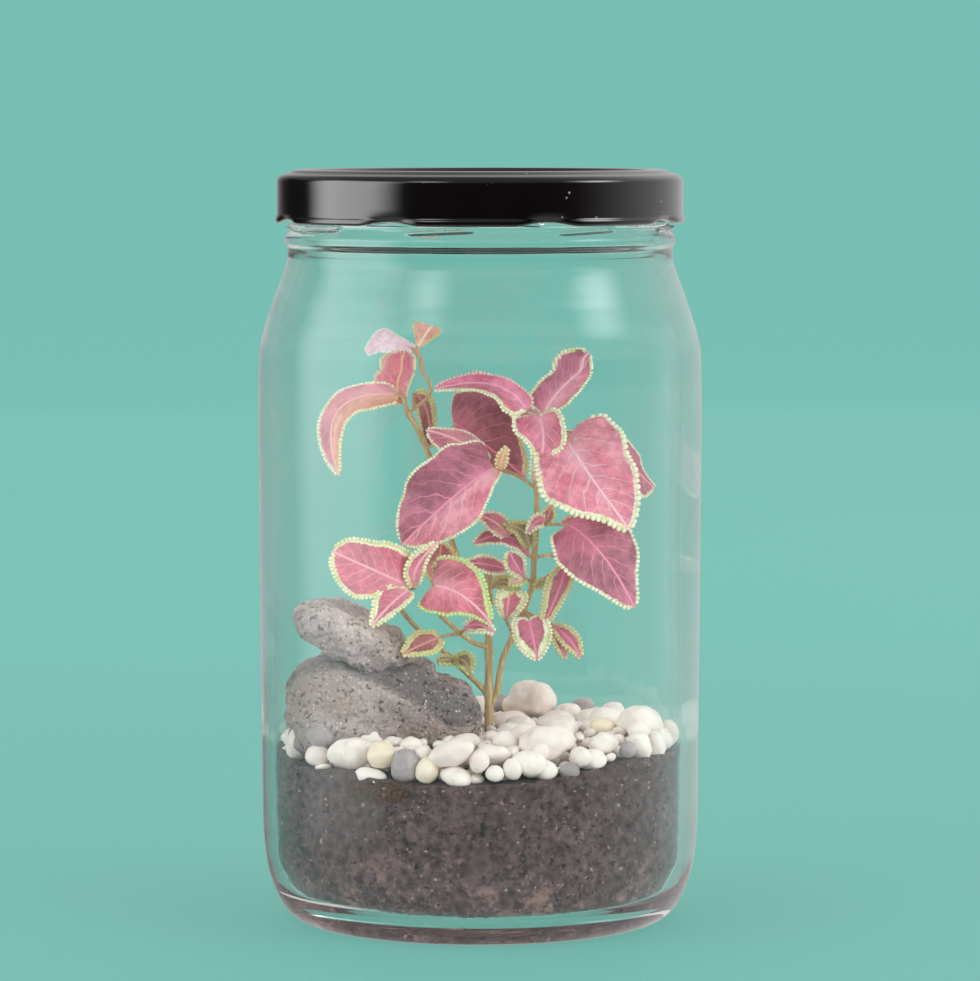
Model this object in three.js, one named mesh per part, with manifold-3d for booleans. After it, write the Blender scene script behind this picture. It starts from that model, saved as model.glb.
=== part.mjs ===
// A closed glass jar with a lugged steel lid, holding soil, pebbles, two leaning rocks and a small
// coleus plant. Millimetres, +Z up, origin at the middle of the jar's foot on the table.
import * as THREE from "three";
import { mergeVertices } from "three/addons/utils/BufferGeometryUtils.js";
import Module from "manifold-3d";

const wasm = await Module();
wasm.setup();

// Driving dimensions
const SEGMENTS = 24; // round pieces, also their facets
const GAP = 0.35; // between touching pieces
const FOOT_R = 46.5;
const JAR_R = 56.1;
const NECK_R = 48.5;
const FINISH_R = 47.4; // the upright part that the lid screws on
const RIM_Z = 187.15;
const MOUTH_R = 44.3;
const INSIDE_R = 51.7;
const FLOOR_Z = 4.2; // inside, in the middle
const LID_R = 51.6;
const LID_BOTTOM = 176.1;
const LID_TOP = 189.5;
const LUGS = 8;
const FIRST_LUG = -26; // degrees from the front towards +X
const LUG_HALF = 4; // degrees
const RIB_STEPS = 2; // along a lug or a thread
const STEM_X = 2; // where the plant comes out of the soil
const STEM_Y = 0;
const STEM_FOOT_Z = 32;
const STEM_R = 1.25;
const BLADE = 0.66; // leaf thickness
const TOOTH = 0.07; // of a leaf's edge, as a share of its half width
const CHANNEL = 0.16; // rise of a leaf's edge over its midrib, as a share of its half width
const WAVE = 0.04; // of a leaf's edge, up and down
const STALK_R = 0.45;
const PEBBLE_REACH = 51; // pebbles at the glass touch this radius
const PEBBLE_PITCH = 11.5; // of the unseen pebbles behind
const PEBBLE_GRID_REACH = 49;
const PEBBLE_LUMPS = 0.16; // how far a stone's corners differ from each other
const STONE_R = 0.54; // radius that gives a lumpy stone the width 1
const FILL_EDGE = 50.4; // radius of the fine gravel between the pebbles
const FILL_BOTTOM = 35; // lies in the soil, which cuts it off
const PAST_GLASS = 60; // radius of ground that the glass cuts off
const BELOW_FLOOR = 1;
const SOIL_GRID = [20, 4]; // spokes and rings
const FILL_GRID = [16, 3];
const STEM_CLEAR = 0.45; // round the stem in its hole
const ROCK_CLEAR = GAP + 0.25;
const PEBBLE_CLEAR = 2 * GAP + 0.1; // both sides together

const LOOKS = {
  glass: { color: 0xdfeeea, roughness: 0.05, metalness: 0, transparent: true, opacity: 0.3 },
  blackSteel: { color: 0x17120f, roughness: 0.18, metalness: 0.3 },
  sealant: { color: 0xd9d4c8, roughness: 0.6, metalness: 0 },
  soil: { color: 0x5f5052, roughness: 0.95, metalness: 0 },
  whiteStone: { color: 0xe9e2d8, roughness: 0.6, metalness: 0 },
  greyStone: { color: 0x9a9394, roughness: 0.65, metalness: 0 },
  creamStone: { color: 0xe2cfa4, roughness: 0.6, metalness: 0 },
  rock: { color: 0x8d8080, roughness: 0.9, metalness: 0 },
  darkRock: { color: 0x756b6c, roughness: 0.9, metalness: 0 },
  leaf: { color: 0xb4566c, roughness: 0.55, metalness: 0 },
};

const group = new THREE.Group();
group.name = "glass_plant_terrarium";

// Seeded draws, so that every run gives the same part
function seeded(seed) {
  let state = seed >>> 0;
  return () => {
    state = (state + 0x6d2b79f5) >>> 0;
    let mixed = Math.imul(state ^ (state >>> 15), 1 | state);
    mixed = (mixed + Math.imul(mixed ^ (mixed >>> 7), 61 | mixed)) ^ mixed;
    return ((mixed ^ (mixed >>> 14)) >>> 0) / 4294967296;
  };
}

// Solids
function bareGeometry(geometry) {
  geometry.deleteAttribute("normal");
  geometry.deleteAttribute("uv");
  return geometry;
}

function solidOf(geometry) {
  const bare = bareGeometry(geometry.index ? geometry.toNonIndexed() : geometry.clone());
  const merged = mergeVertices(bare, 1e-4);
  const index = merged.index.array;
  const corners = [];
  for (let i = 0; i < index.length; i += 3) {
    const [a, b, c] = [index[i], index[i + 1], index[i + 2]];
    if (a !== b && b !== c && a !== c) corners.push(a, b, c);
  }
  const mesh = (list) =>
    new wasm.Mesh({
      numProp: 3,
      vertProperties: merged.getAttribute("position").array,
      triVerts: new Uint32Array(list),
    });
  const made = new wasm.Manifold(mesh(corners));
  return made.volume() > 0 ? made : new wasm.Manifold(mesh(corners.reverse()));
}

function geometryOf(solid) {
  const mesh = solid.getMesh();
  const geometry = new THREE.BufferGeometry();
  geometry.setAttribute("position", new THREE.BufferAttribute(mesh.vertProperties, 3));
  geometry.setIndex(new THREE.BufferAttribute(mesh.triVerts, 1));
  geometry.computeVertexNormals();
  return geometry;
}

// One body of all the pieces; a loose scrap under 1 mm3 is dropped
function joined(pieces) {
  const bodies = wasm.Manifold.union(pieces).decompose();
  bodies.sort((a, b) => b.volume() - a.volume());
  if (bodies.length > 1 && bodies[1].volume() > 1) throw new Error("a piece isn't joined on");
  return bodies[0];
}

function addPart(name, solid, look) {
  const mesh = new THREE.Mesh(geometryOf(solid), new THREE.MeshStandardMaterial(LOOKS[look]));
  mesh.name = name;
  group.add(mesh);
}

// A profile of [radius, height] points turned round the jar's axis
function turned(profile) {
  const points = profile.map(([r, z]) => new THREE.Vector2(r, z));
  return solidOf(new THREE.LatheGeometry(points, SEGMENTS).rotateX(Math.PI / 2));
}

function turnedRing(profile) {
  return turned([...profile, profile[0]]);
}

// Closed solid between a lower and an upper grid of points, both rows × columns
function slabBetween(upper, lower) {
  const rows = upper.length;
  const columns = upper[0].length;
  const positions = [...upper.flat(), ...lower.flat()].flatMap((p) => [p.x, p.y, p.z]);
  const at = (row, column, below) => (below ? rows * columns : 0) + row * columns + column;
  const index = [];
  const quad = (a, b, c, d) => index.push(a, b, c, a, c, d);
  for (let i = 0; i < rows - 1; i++)
    for (let j = 0; j < columns - 1; j++) {
      quad(at(i, j), at(i + 1, j), at(i + 1, j + 1), at(i, j + 1));
      index.push(at(i, j, true), at(i + 1, j + 1, true), at(i + 1, j, true));
      index.push(at(i, j, true), at(i, j + 1, true), at(i + 1, j + 1, true));
    }
  const wall = (a, b) => quad(a, b, b + rows * columns, a + rows * columns);
  for (let i = 0; i < rows - 1; i++) {
    wall(at(i + 1, 0), at(i, 0));
    wall(at(i, columns - 1), at(i + 1, columns - 1));
  }
  for (let j = 0; j < columns - 1; j++) {
    wall(at(0, j), at(0, j + 1));
    wall(at(rows - 1, j + 1), at(rows - 1, j));
  }
  const geometry = new THREE.BufferGeometry();
  geometry.setAttribute("position", new THREE.Float32BufferAttribute(positions, 3));
  geometry.setIndex(index);
  return solidOf(geometry);
}

// Closed stack of equal rings of points, with a flat fan on each end
function ringStack(rings) {
  const count = rings[0].length;
  const points = rings.flat();
  const index = [];
  for (let i = 0; i < rings.length - 1; i++)
    for (let j = 0; j < count; j++) {
      const next = (j + 1) % count;
      const [a, b] = [i * count + j, i * count + next];
      index.push(a, b, b + count, a, b + count, a + count);
    }
  for (const [start, first] of [[0, false], [(rings.length - 1) * count, true]]) {
    const centre = new THREE.Vector3();
    for (let j = 0; j < count; j++) centre.addScaledVector(points[start + j], 1 / count);
    points.push(centre);
    for (let j = 0; j < count; j++) {
      const [a, b] = [start + j, start + ((j + 1) % count)];
      if (first) index.push(a, b, points.length - 1);
      else index.push(b, a, points.length - 1);
    }
  }
  const geometry = new THREE.BufferGeometry();
  const positions = points.flatMap((p) => [p.x, p.y, p.z]);
  geometry.setAttribute("position", new THREE.Float32BufferAttribute(positions, 3));
  geometry.setIndex(index);
  return solidOf(geometry);
}

// A round-ended stem or stalk whose radius runs from one value to another
function stem(places, firstR, lastR, sides, steps) {
  const curve = new THREE.CatmullRomCurve3(places.map((p) => new THREE.Vector3(...p)));
  const frames = curve.computeFrenetFrames(steps, false);
  const rings = [];
  for (let i = 0; i <= steps; i++) {
    const centre = curve.getPointAt(i / steps);
    const radius = firstR + ((lastR - firstR) * i) / steps;
    const ring = [];
    for (let j = 0; j < sides; j++) {
      const angle = (2 * Math.PI * j) / sides;
      ring.push(
        centre
          .clone()
          .addScaledVector(frames.normals[i], radius * Math.cos(angle))
          .addScaledVector(frames.binormals[i], radius * Math.sin(angle)),
      );
    }
    rings.push(ring);
  }
  return ringStack(rings);
}

// A rib round the jar's axis between two angles from the front, rising as it goes towards +X
function rib({ inner, outer, low, height, from, to, rise = 0 }) {
  const rings = [];
  for (let i = 0; i <= RIB_STEPS; i++) {
    const share = i / RIB_STEPS;
    const angle = THREE.MathUtils.degToRad(from + (to - from) * share);
    const corner = (r, up) => {
      const z = low + rise * share + height * up;
      return new THREE.Vector3(r * Math.sin(angle), -r * Math.cos(angle), z);
    };
    rings.push([corner(inner, 0), corner(outer, 0.2), corner(outer, 0.8), corner(inner, 1)]);
  }
  return ringStack(rings);
}

function roundTheLugs(make) {
  const turn = 360 / LUGS;
  return Array.from({ length: LUGS }, (_, i) => make(FIRST_LUG + i * turn));
}

// Jar: punted foot, rounded heel, sloping shoulder, neck bead and lug threads
const INSIDE_PROFILE = [
  [MOUTH_R, RIM_Z - 0.9],
  [MOUTH_R, 170],
  [45.4, 164.2],
  [48.4, 155.8],
  [50.9, 148.4],
  [INSIDE_R, 140],
  [51.6, 24],
  [51, 14.5],
  [48.9, 8.6],
  [45, 5.3],
  [40, FLOOR_Z + 0.3],
  [0, FLOOR_Z],
];

function jarGlass() {
  const body = turned([
    [0, 1.6],
    [42, 1.1],
    [43.2, 0],
    [FOOT_R, 0],
    [49.8, 2.6],
    [52.2, 7],
    [54.2, 12.8],
    [55.3, 22],
    [JAR_R, 125],
    [55.9, 143.6],
    [54.8, 148.8],
    [52.4, 156],
    [50, 162.2],
    [NECK_R, 166.4],
    [NECK_R, 169.2],
    [49.5, 170.8],
    [49.5, 172.8],
    [FINISH_R, 174.6],
    [FINISH_R, RIM_Z - 1],
    [46.5, RIM_Z],
    [45.1, RIM_Z],
    ...INSIDE_PROFILE,
  ]);
  const sunk = FINISH_R - 0.6;
  const threads = roundTheLugs((angle) =>
    rib({
      inner: sunk,
      outer: FINISH_R + 2,
      low: 178.1,
      height: 1.9,
      from: angle - 3,
      to: angle + 31,
      rise: 2.2,
    }),
  );
  const ramps = roundTheLugs((angle) =>
    rib({
      inner: sunk,
      outer: FINISH_R + 1.8,
      low: 173.8,
      height: 1.1,
      from: angle + 5,
      to: angle + 23,
      rise: 0.7,
    }),
  );
  return joined([body, ...threads, ...ramps]);
}

// Lid: pressed steel shell with a raised ring, a sunken middle, a curled edge and inward lugs
function lidShell() {
  const wall = LID_R - 0.4;
  const shell = turned([
    [0, LID_TOP - 0.7],
    [15, LID_TOP - 0.7],
    [17, LID_TOP - 1.2],
    [41.2, LID_TOP - 1.2],
    [42.6, LID_TOP],
    [46.8, LID_TOP],
    [48.4, LID_TOP - 0.9],
    [50.2, LID_TOP - 1.3],
    [wall, LID_TOP - 2.4],
    [wall, LID_BOTTOM + 2],
    [LID_R, LID_BOTTOM + 1.3],
    [LID_R, LID_BOTTOM + 0.4],
    [51.1, LID_BOTTOM],
    [50.5, LID_BOTTOM + 0.2],
    [50.4, LID_TOP - 2.9],
    [49.7, LID_TOP - 2.1],
    [48.3, LID_TOP - 1.8],
    [47.4, LID_TOP - 0.8],
    [43.3, LID_TOP - 0.8],
    [42, LID_TOP - 2],
    [0, LID_TOP - 2],
  ]);
  const span = (angle, half) => ({ from: angle - half, to: angle + half });
  const lugs = roundTheLugs((angle) =>
    rib({
      inner: 50.8,
      outer: FINISH_R + 0.9,
      low: LID_BOTTOM + 0.2,
      height: 1.4,
      ...span(angle, LUG_HALF),
    }),
  );
  const dents = roundTheLugs((angle) =>
    rib({
      inner: 51.1,
      outer: LID_R + 2,
      low: LID_BOTTOM - 1,
      height: 2,
      ...span(angle, LUG_HALF + 1),
    }),
  );
  return joined([shell.subtract(wasm.Manifold.union(dents)), ...lugs]);
}

function lidLiner() {
  const top = LID_TOP - 0.8 - GAP;
  return turnedRing([
    [43.8, RIM_Z + GAP],
    [47, RIM_Z + GAP],
    [47, top],
    [43.8, top],
  ]);
}

// Height of the soil: lower at the front glass, where the pebbles lie deepest
function soilTop(x, y) {
  const frontness = THREE.MathUtils.clamp(-y / 50, 0, 1) ** 2;
  const dip = -4.5 + 8.5 * (x / 48) ** 2;
  return 44.5 + frontness * dip + 0.6 * Math.sin(x / 7 + 1) * Math.cos(y / 9);
}

// Height of the fine gravel that the pebbles are pressed into
function gravelTop(x, y) {
  const rightMound = 2.5 * Math.exp(-((x - 36) ** 2 + (y + 12) ** 2) / 300);
  const edgeFall = 3.5 * THREE.MathUtils.clamp((Math.hypot(x, y) - 44) / 6, 0, 1);
  const level = 48 + rightMound - edgeFall + 0.4 * Math.sin(x / 5) * Math.cos(y / 6);
  return Math.max(level, soilTop(x, y) + 1.4);
}

// A disc of ground between two heights given for each place
function groundDisc(radius, highAt, lowAt, spokes, rings) {
  const grid = (heightAt) => {
    const rows = [];
    for (let i = 0; i <= rings; i++) {
      const row = [];
      for (let j = 0; j < spokes; j++) {
        const angle = (2 * Math.PI * j) / spokes;
        const r = (radius * i) / rings;
        const [x, y] = [r * Math.cos(angle), r * Math.sin(angle)];
        row.push(new THREE.Vector3(x, y, heightAt(x, y)));
      }
      rows.push(row);
    }
    return rows;
  };
  const up = grid(highAt);
  const down = grid(lowAt);
  return ringStack([...down.slice(1), ...up.slice(1).reverse()]);
}

// The room inside the glass, kept clear of it
function insideJar() {
  const belowShoulder = INSIDE_PROFILE.slice(5);
  const room = belowShoulder.map(([r, z]) => [r ? r - GAP : 0, z + GAP]);
  return turned([[0, room[0][1]], ...room]);
}

function stemHole(lowZ) {
  const top = 70; // above the pebbles
  const radius = STEM_R + STEM_CLEAR;
  const hole = new THREE.CylinderGeometry(radius, radius, top - lowZ, 12);
  hole.rotateX(Math.PI / 2);
  hole.translate(STEM_X, STEM_Y, (top + lowZ) / 2);
  return solidOf(hole);
}

// Rocks: a side outline in [x, z], swelling and closing towards the front and the back
const LOWER_ROCK = {
  outline: [
    [-46, 44],
    [-47.8, 50],
    [-48.4, 56],
    [-47.6, 62],
    [-44.5, 66.5],
    [-39, 68.2],
    [-30, 67.5],
    [-21, 67.6],
    [-15, 66.8],
    [-11.3, 65],
    [-10.6, 62.6],
    [-5.5, 61],
    [-1.6, 58],
    [0.4, 53.5],
    [0.2, 49],
    [-3, 44],
  ],
  centre: [-24, 55],
  middleY: -8,
  halfDepth: 22,
  seed: 11,
};
const UPPER_ROCK = {
  outline: [
    [-47, 78.2],
    [-45, 81],
    [-40.8, 82.2],
    [-36.3, 82],
    [-31.8, 80.4],
    [-27, 78.6],
    [-23.7, 75.6],
    [-20, 73.2],
    [-17.4, 70],
    [-15.8, 65.5],
    [-18.8, 63.4],
    [-24, 60],
    [-30.4, 63.6],
    [-36.5, 66.2],
    [-40.5, 69.3],
    [-45.8, 74.6],
  ],
  centre: [-31.5, 72.5],
  middleY: -7,
  halfDepth: 16,
  seed: 23,
};
const ROCK_LAYERS = [
  [-1, 0.42],
  [-0.86, 0.76],
  [-0.5, 0.95],
  [0, 1],
  [0.5, 0.94],
  [0.85, 0.74],
  [1, 0.4],
];

function rock({ outline, centre, middleY, halfDepth, seed }, grow = 0) {
  const draw = seeded(seed);
  const [cx, cz] = centre;
  const rings = ROCK_LAYERS.map(([depth, share]) =>
    outline.map(([x, z]) => {
      const bulge = share * (depth === 0 ? 1 : 0.96 + 0.07 * draw());
      const reach = Math.hypot(x - cx, z - cz);
      const scale = bulge * (1 + grow / reach);
      const y = middleY + depth * (halfDepth + grow) + (1 - Math.abs(depth)) * 1.2 * (draw() - 0.5);
      return new THREE.Vector3(cx + (x - cx) * scale, y, cz + (z - cz) * scale);
    }),
  );
  return ringStack(rings);
}

// Pebbles seen through the front glass and behind the stem: [x, y, z, width, height]
const WHITE_PEBBLES = [
  [-47.5, -18, 47.5, 4, 5.5],
  [-45.5, -21, 46.5, 4.5, 8.5],
  [-40.5, -29, 44.5, 5.5, 5.5],
  [-32.5, -35.5, 46, 10, 8.5],
  [-26.5, -42, 41.5, 9, 4],
  [-7, -48, 48, 11.5, 6],
  [-6, -48.5, 42, 7.5, 5],
  [-16.5, -35, 48, 5.5, 4.5],
  [-13.5, -43, 47.5, 4, 4],
  [-3.5, -30, 48.5, 7, 4],
  [2.5, -43.5, 47, 9.5, 5],
  [0, -49, 46, 4.5, 5.5],
  [3.5, -49, 43, 4.5, 4],
  [8, -48.5, 44, 4.5, 5.5],
  [12.5, -46.5, 45, 9.5, 6.5],
  [16, -46, 43.5, 5.5, 5.5],
  [14.5, -42, 48, 5.5, 5],
  [16, -39, 49.5, 13.5, 9],
  [6, -36, 49, 6, 5.5],
  [10.5, -27.5, 50, 8, 5.5],
  [20.5, -25.5, 50.5, 5, 5],
  [30, -34, 48.6, 8.5, 5.5],
  [24.5, -42.5, 46, 5, 5],
  [28, -40.5, 45, 6.5, 5.5],
  [39.5, -30, 46.5, 5.5, 8.5],
  [39, -18, 51.5, 12, 9.5],
  [38.5, -27, 51, 6.5, 4.5],
  [43.5, -25, 46.5, 4.5, 8],
  [46, -20, 47.5, 6, 6],
  [48, -14, 48.5, 4, 6.5],
  [23, 18, 49.8, 7.5, 5],
  [13.5, 22, 52.5, 12.5, 10.5, 1.1],
  [-0.5, 24, 50.5, 5, 5],
  [34.5, 26, 49, 7, 5.5],
];
const GREY_PEBBLES = [
  [-38.5, -27.5, 49.5, 8, 5.5],
  [-17.5, -44.5, 44, 7.5, 8.5],
  [21.5, -44.5, 43, 5.5, 4],
  [36, -34.5, 47, 3.5, 4.5],
  [5.5, 34, 50, 5, 4.5],
  [27.5, 30, 50, 6.5, 4.5],
];
const CREAM_PEBBLES = [
  [-24, -42, 46.5, 7, 6.5],
  [-13, -47, 43.5, 5.5, 6.5],
  [30, -19, 50.5, 6, 5.5],
  [8, 27, 50.5, 5, 5.5],
];

// An irregular stone of the given width and height, narrower towards its top by the share called peak
function pebble([x, y, z, width, height, peak = 0.1], seed, grow = 0) {
  const draw = seeded(seed);
  const lump = mergeVertices(bareGeometry(new THREE.IcosahedronGeometry(STONE_R)), 1e-4);
  const place = lump.getAttribute("position");
  for (let i = 0; i < place.count; i++) {
    const swell = 1 + PEBBLE_LUMPS * (draw() - 0.5);
    const side = swell * (1 - peak * place.getZ(i));
    place.setXYZ(i, place.getX(i) * side, place.getY(i) * side, place.getZ(i) * swell);
  }
  lump.rotateZ(2 * Math.PI * draw());
  const depth = Math.min(width, height) * (1 + 0.25 * draw());
  lump.scale(width + grow, depth + grow, height + grow);
  lump.translate(x, y, z);
  return solidOf(lump);
}

// Pebbles where the front view doesn't reach, on a jittered grid clear of the seen ones
function unseenPebbles() {
  const draw = seeded(5);
  const seen = [...WHITE_PEBBLES, ...GREY_PEBBLES, ...CREAM_PEBBLES];
  const list = [];
  for (let row = -PEBBLE_GRID_REACH; row <= PEBBLE_GRID_REACH; row += PEBBLE_PITCH)
    for (let column = -PEBBLE_GRID_REACH; column <= PEBBLE_GRID_REACH; column += PEBBLE_PITCH) {
      const x = row + 3 * (draw() - 0.5);
      const y = column + 3 * (draw() - 0.5);
      const width = 7.5 + 3 * draw();
      const height = 5 + 1.5 * draw();
      const atStem = Math.hypot(x - STEM_X, y - STEM_Y) < width / 2 + STEM_R + STEM_CLEAR;
      const outside = Math.hypot(x, y) > PEBBLE_REACH - width / 2;
      const onSeen = seen.some((p) => Math.hypot(x - p[0], y - p[1]) < (width + p[3]) / 2 - 1);
      const underRock = x > -43 && x < -5 && y > -23 && y < 9;
      if (!atStem && !outside && !onSeen && !underRock)
        list.push([x, y, gravelTop(x, y) + 0.6, width, height]);
    }
  return list;
}

function addGround() {
  const room = insideJar();
  const floor = () => BELOW_FLOOR;
  const belowTop = groundDisc(PAST_GLASS, soilTop, floor, ...SOIL_GRID);
  const liftedSoil = groundDisc(PAST_GLASS, (x, y) => soilTop(x, y) + GAP, floor, ...SOIL_GRID);
  const soil = room.intersect(belowTop).subtract(stemHole(STEM_FOOT_Z - GAP));
  addPart("soil", soil, "soil");

  const upperRock = rock(UPPER_ROCK);
  const lowerRock = rock(LOWER_ROCK).subtract(rock(UPPER_ROCK, ROCK_CLEAR)).subtract(liftedSoil);
  addPart("rock_lower", joined([lowerRock]), "darkRock");
  addPart("rock_upper", upperRock, "rock");

  const fits = (solid) => solid.intersect(room).subtract(liftedSoil);
  const clearOf = [rock(LOWER_ROCK, ROCK_CLEAR), stemHole(FILL_BOTTOM)];
  const odd = (list, word, look, firstSeed) =>
    list.forEach((place, i) => {
      const seed = firstSeed + i;
      const stone = fits(pebble(place, seed)).subtract(wasm.Manifold.union(clearOf));
      clearOf.push(pebble(place, seed, PEBBLE_CLEAR));
      addPart(`${word}_${i + 1}`, joined([stone]), look);
    });
  odd(GREY_PEBBLES, "grey_pebble", "greyStone", 200);
  odd(CREAM_PEBBLES, "cream_pebble", "creamStone", 300);

  const gravel = groundDisc(FILL_EDGE, gravelTop, () => FILL_BOTTOM, ...FILL_GRID);
  const seen = WHITE_PEBBLES.map((place, i) => pebble(place, 400 + i));
  const unseen = unseenPebbles().map((place, i) => pebble(place, 500 + i));
  const whites = [...seen, ...unseen];
  const bed = fits(wasm.Manifold.union([gravel, ...whites]));
  addPart("white_pebbles", joined([bed.subtract(wasm.Manifold.union(clearOf))]), "whiteStone");
}

// Cells across a blade and steps along it
const BLADE_GRIDS = { large: [4, 12], long: [2, 12], small: [2, 5], scrap: [2, 4] };
const STALK_SIDES = 4;

// Leaves, each from its root on the stem through its base and the middle of its midrib to its tip,
// with the way its upper face looks, its half widths to the left and right of the midrib, and how far
// along it is widest. A leaf without a root grows from its neighbour.
const LEAVES = {
  shoot_upper_left: [
    {
      name: "arching_leaf",
      root: [-18.5, 8, 127],
      base: [-21, 8, 133],
      crest: [-36.5, 1, 126],
      tip: [-35.5, -3, 111],
      face: [-0.55, -0.65, 0.5],
      halves: [5.5, 4.5],
      widest: 0.4,
      grid: "long",
    },
    {
      name: "pale_leaf",
      root: [-16, 7, 140.5],
      base: [-17.5, 7, 141.5],
      crest: [-23.5, 4, 143.5],
      tip: [-29, 0, 141.5],
      face: [-0.1, -0.95, 0.3],
      halves: [2, 5],
      widest: 0.45,
      grid: "small",
    },
    {
      name: "fan_leaf",
      root: [-16, 7, 140.5],
      base: [-16, 7, 142],
      crest: [-15, 8, 145.5],
      tip: [-13, 9, 149.5],
      face: [0.1, -0.95, -0.1],
      halves: [2.5, 3.5],
      widest: 0.8,
      grid: "small",
    },
    {
      name: "folded_leaf",
      root: [-18.5, 9, 127.5],
      base: [-19, 10, 130],
      crest: [-20.5, 12, 135.5],
      tip: [-19.5, 13, 143.5],
      face: [-0.2, -0.95, 0.1],
      halves: [3.5, 3],
      widest: 0.4,
      grid: "small",
    },
    {
      name: "hanging_leaf",
      root: [-18, 9, 127.5],
      base: [-13.5, 11, 131.5],
      crest: [-13.5, 12, 126],
      tip: [-12.5, 12, 117.5],
      face: [0.2, -0.95, 0.2],
      halves: [1.5, 4],
      widest: 0.4,
      grid: "small",
    },
    {
      name: "dark_leaf",
      root: [-11, 8, 110.5],
      base: [-6, 12, 126],
      crest: [4, 14, 120],
      tip: [13, 13, 111],
      face: [0.05, -0.95, 0.3],
      halves: [7.5, 8],
      widest: 0.35,
      grid: "long",
    },
  ],
  shoot_right: [
    {
      name: "bridge_leaf",
      root: [13.5, 0, 124],
      base: [11.5, 0, 126.5],
      crest: [0, 0, 136],
      tip: [-12.5, 3, 133],
      face: [0.1, -0.5, 0.85],
      halves: [8.5, 6.5],
      widest: 0.35,
      grid: "long",
    },
    {
      name: "pink_side_leaf",
      root: [6, -2, 113.5],
      base: [2.5, 1, 117],
      crest: [-6.5, 1, 121],
      tip: [-14.5, 2, 123.5],
      face: [-0.1, -0.9, 0.4],
      halves: [4.5, 4],
      widest: 0.4,
      grid: "small",
    },
    {
      name: "top_leaf",
      root: [14, 0, 125],
      base: [15.5, 0, 127.5],
      crest: [23, 1, 133.5],
      tip: [28, 2, 141.5],
      face: [-0.35, -0.85, 0.4],
      halves: [6, 3],
      widest: 0.4,
      grid: "long",
    },
    {
      name: "drooping_leaf",
      root: [14, -1, 125.5],
      base: [14.5, -3, 127],
      crest: [16.5, -9, 120],
      tip: [14, -8, 111.5],
      face: [0, -0.8, 0.6],
      halves: [6, 7.5],
      widest: 0.22,
      grid: "long",
    },
    {
      name: "great_left_leaf",
      root: [4.5, -3, 114],
      base: [3, -5, 115],
      crest: [-8.5, -10, 106],
      tip: [-20, -8, 95],
      face: [-0.1, -0.9, 0.4],
      halves: [8.5, 10.5],
      widest: 0.38,
      grid: "large",
    },
    {
      name: "great_right_leaf",
      root: [15, -2, 124.5],
      base: [20, -6, 123],
      crest: [28, -13, 112.5],
      tip: [37.5, -13, 99],
      face: [0.1, -0.85, 0.5],
      halves: [10.5, 11.5],
      widest: 0.33,
      grid: "large",
    },
    {
      name: "right_back_leaf",
      root: [15, 2, 123.5],
      base: [32.5, 4, 123],
      crest: [40, 8, 115.5],
      tip: [45.5, 9, 108.5],
      face: [-0.3, -0.75, 0.6],
      halves: [1.5, 6],
      widest: 0.55,
      grid: "small",
    },
    {
      name: "lower_right_leaf",
      root: [15, 0, 100],
      base: [23, -4, 100.5],
      crest: [31.5, -9, 92],
      tip: [40, -8, 80],
      face: [0.2, -0.85, 0.45],
      halves: [8.5, 9],
      widest: 0.36,
      grid: "large",
    },
    {
      name: "bract",
      base: [5, -3.2, 114],
      crest: [5.5, -5, 117],
      tip: [7, -5, 120],
      face: [0, -1, 0.1],
      halves: [1, 1.5],
      widest: 0.5,
      grid: "scrap",
    },
    {
      name: "curled_leaf",
      root: [13.5, 0, 91.5],
      base: [12.5, -1, 92],
      crest: [6.5, -2, 97],
      tip: [-2, -1, 94.5],
      face: [0.1, -0.8, 0.6],
      halves: [2.5, 2.5],
      widest: 0.4,
      grid: "small",
    },
    {
      name: "curled_tip",
      base: [7, -1.9, 96.7],
      crest: [5, -3, 101],
      tip: [-1, -2, 102.5],
      face: [0.2, -0.9, 0.3],
      halves: [2, 2],
      widest: 0.45,
      grid: "small",
    },
    {
      name: "purple_leaf",
      root: [12.5, -1, 85.5],
      base: [11.5, -4, 86.5],
      crest: [9, -7, 90.5],
      tip: [7.5, -6, 93.5],
      face: [0.1, -0.95, 0.3],
      halves: [2.5, 2.5],
      widest: 0.55,
      grid: "small",
    },
    {
      name: "yellow_scrap",
      base: [11.8, -3.6, 86.2],
      crest: [9.5, -6, 86],
      tip: [7.5, -6, 85.5],
      face: [0, -0.9, 0.4],
      halves: [1, 1],
      widest: 0.5,
      grid: "scrap",
    },
    {
      name: "white_edged_leaf",
      root: [7, -2, 75],
      base: [6.5, -4, 75.5],
      crest: [7, -6, 80],
      tip: [11.5, -5, 83.5],
      face: [0, -0.9, 0.3],
      halves: [4, 3],
      widest: 0.7,
      grid: "small",
    },
    {
      name: "bud_leaf",
      root: [15.5, 0, 84.5],
      base: [16.5, -2, 85.5],
      crest: [15.5, -3, 85],
      tip: [14, -3, 84],
      face: [0, -0.9, 0.3],
      halves: [1, 1],
      widest: 0.5,
      grid: "scrap",
    },
    {
      name: "narrow_leaf",
      root: [15, 0, 84],
      base: [20, -4, 88.5],
      crest: [19.5, -8, 83],
      tip: [17, -7, 74.5],
      face: [0.1, -0.9, 0.3],
      halves: [3.5, 3.5],
      widest: 0.45,
      grid: "small",
    },
    {
      name: "round_leaf",
      root: [11, -1, 77.5],
      base: [11, -6, 77],
      crest: [13, -10, 72.5],
      tip: [14.5, -10, 67.5],
      face: [0, -0.9, 0.35],
      halves: [4.5, 3.5],
      widest: 0.45,
      grid: "small",
    },
    {
      name: "notched_leaf",
      root: [11.5, 0, 77.5],
      base: [18.5, -3, 74.5],
      crest: [22.5, -5, 71.5],
      tip: [25.5, -5, 66.5],
      face: [0.1, -0.9, 0.3],
      halves: [2, 2],
      widest: 0.5,
      grid: "small",
    },
    {
      name: "notched_lobe",
      base: [18.2, -2.9, 74.6],
      crest: [20.5, -5, 70.5],
      tip: [21.5, -5, 66.5],
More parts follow.
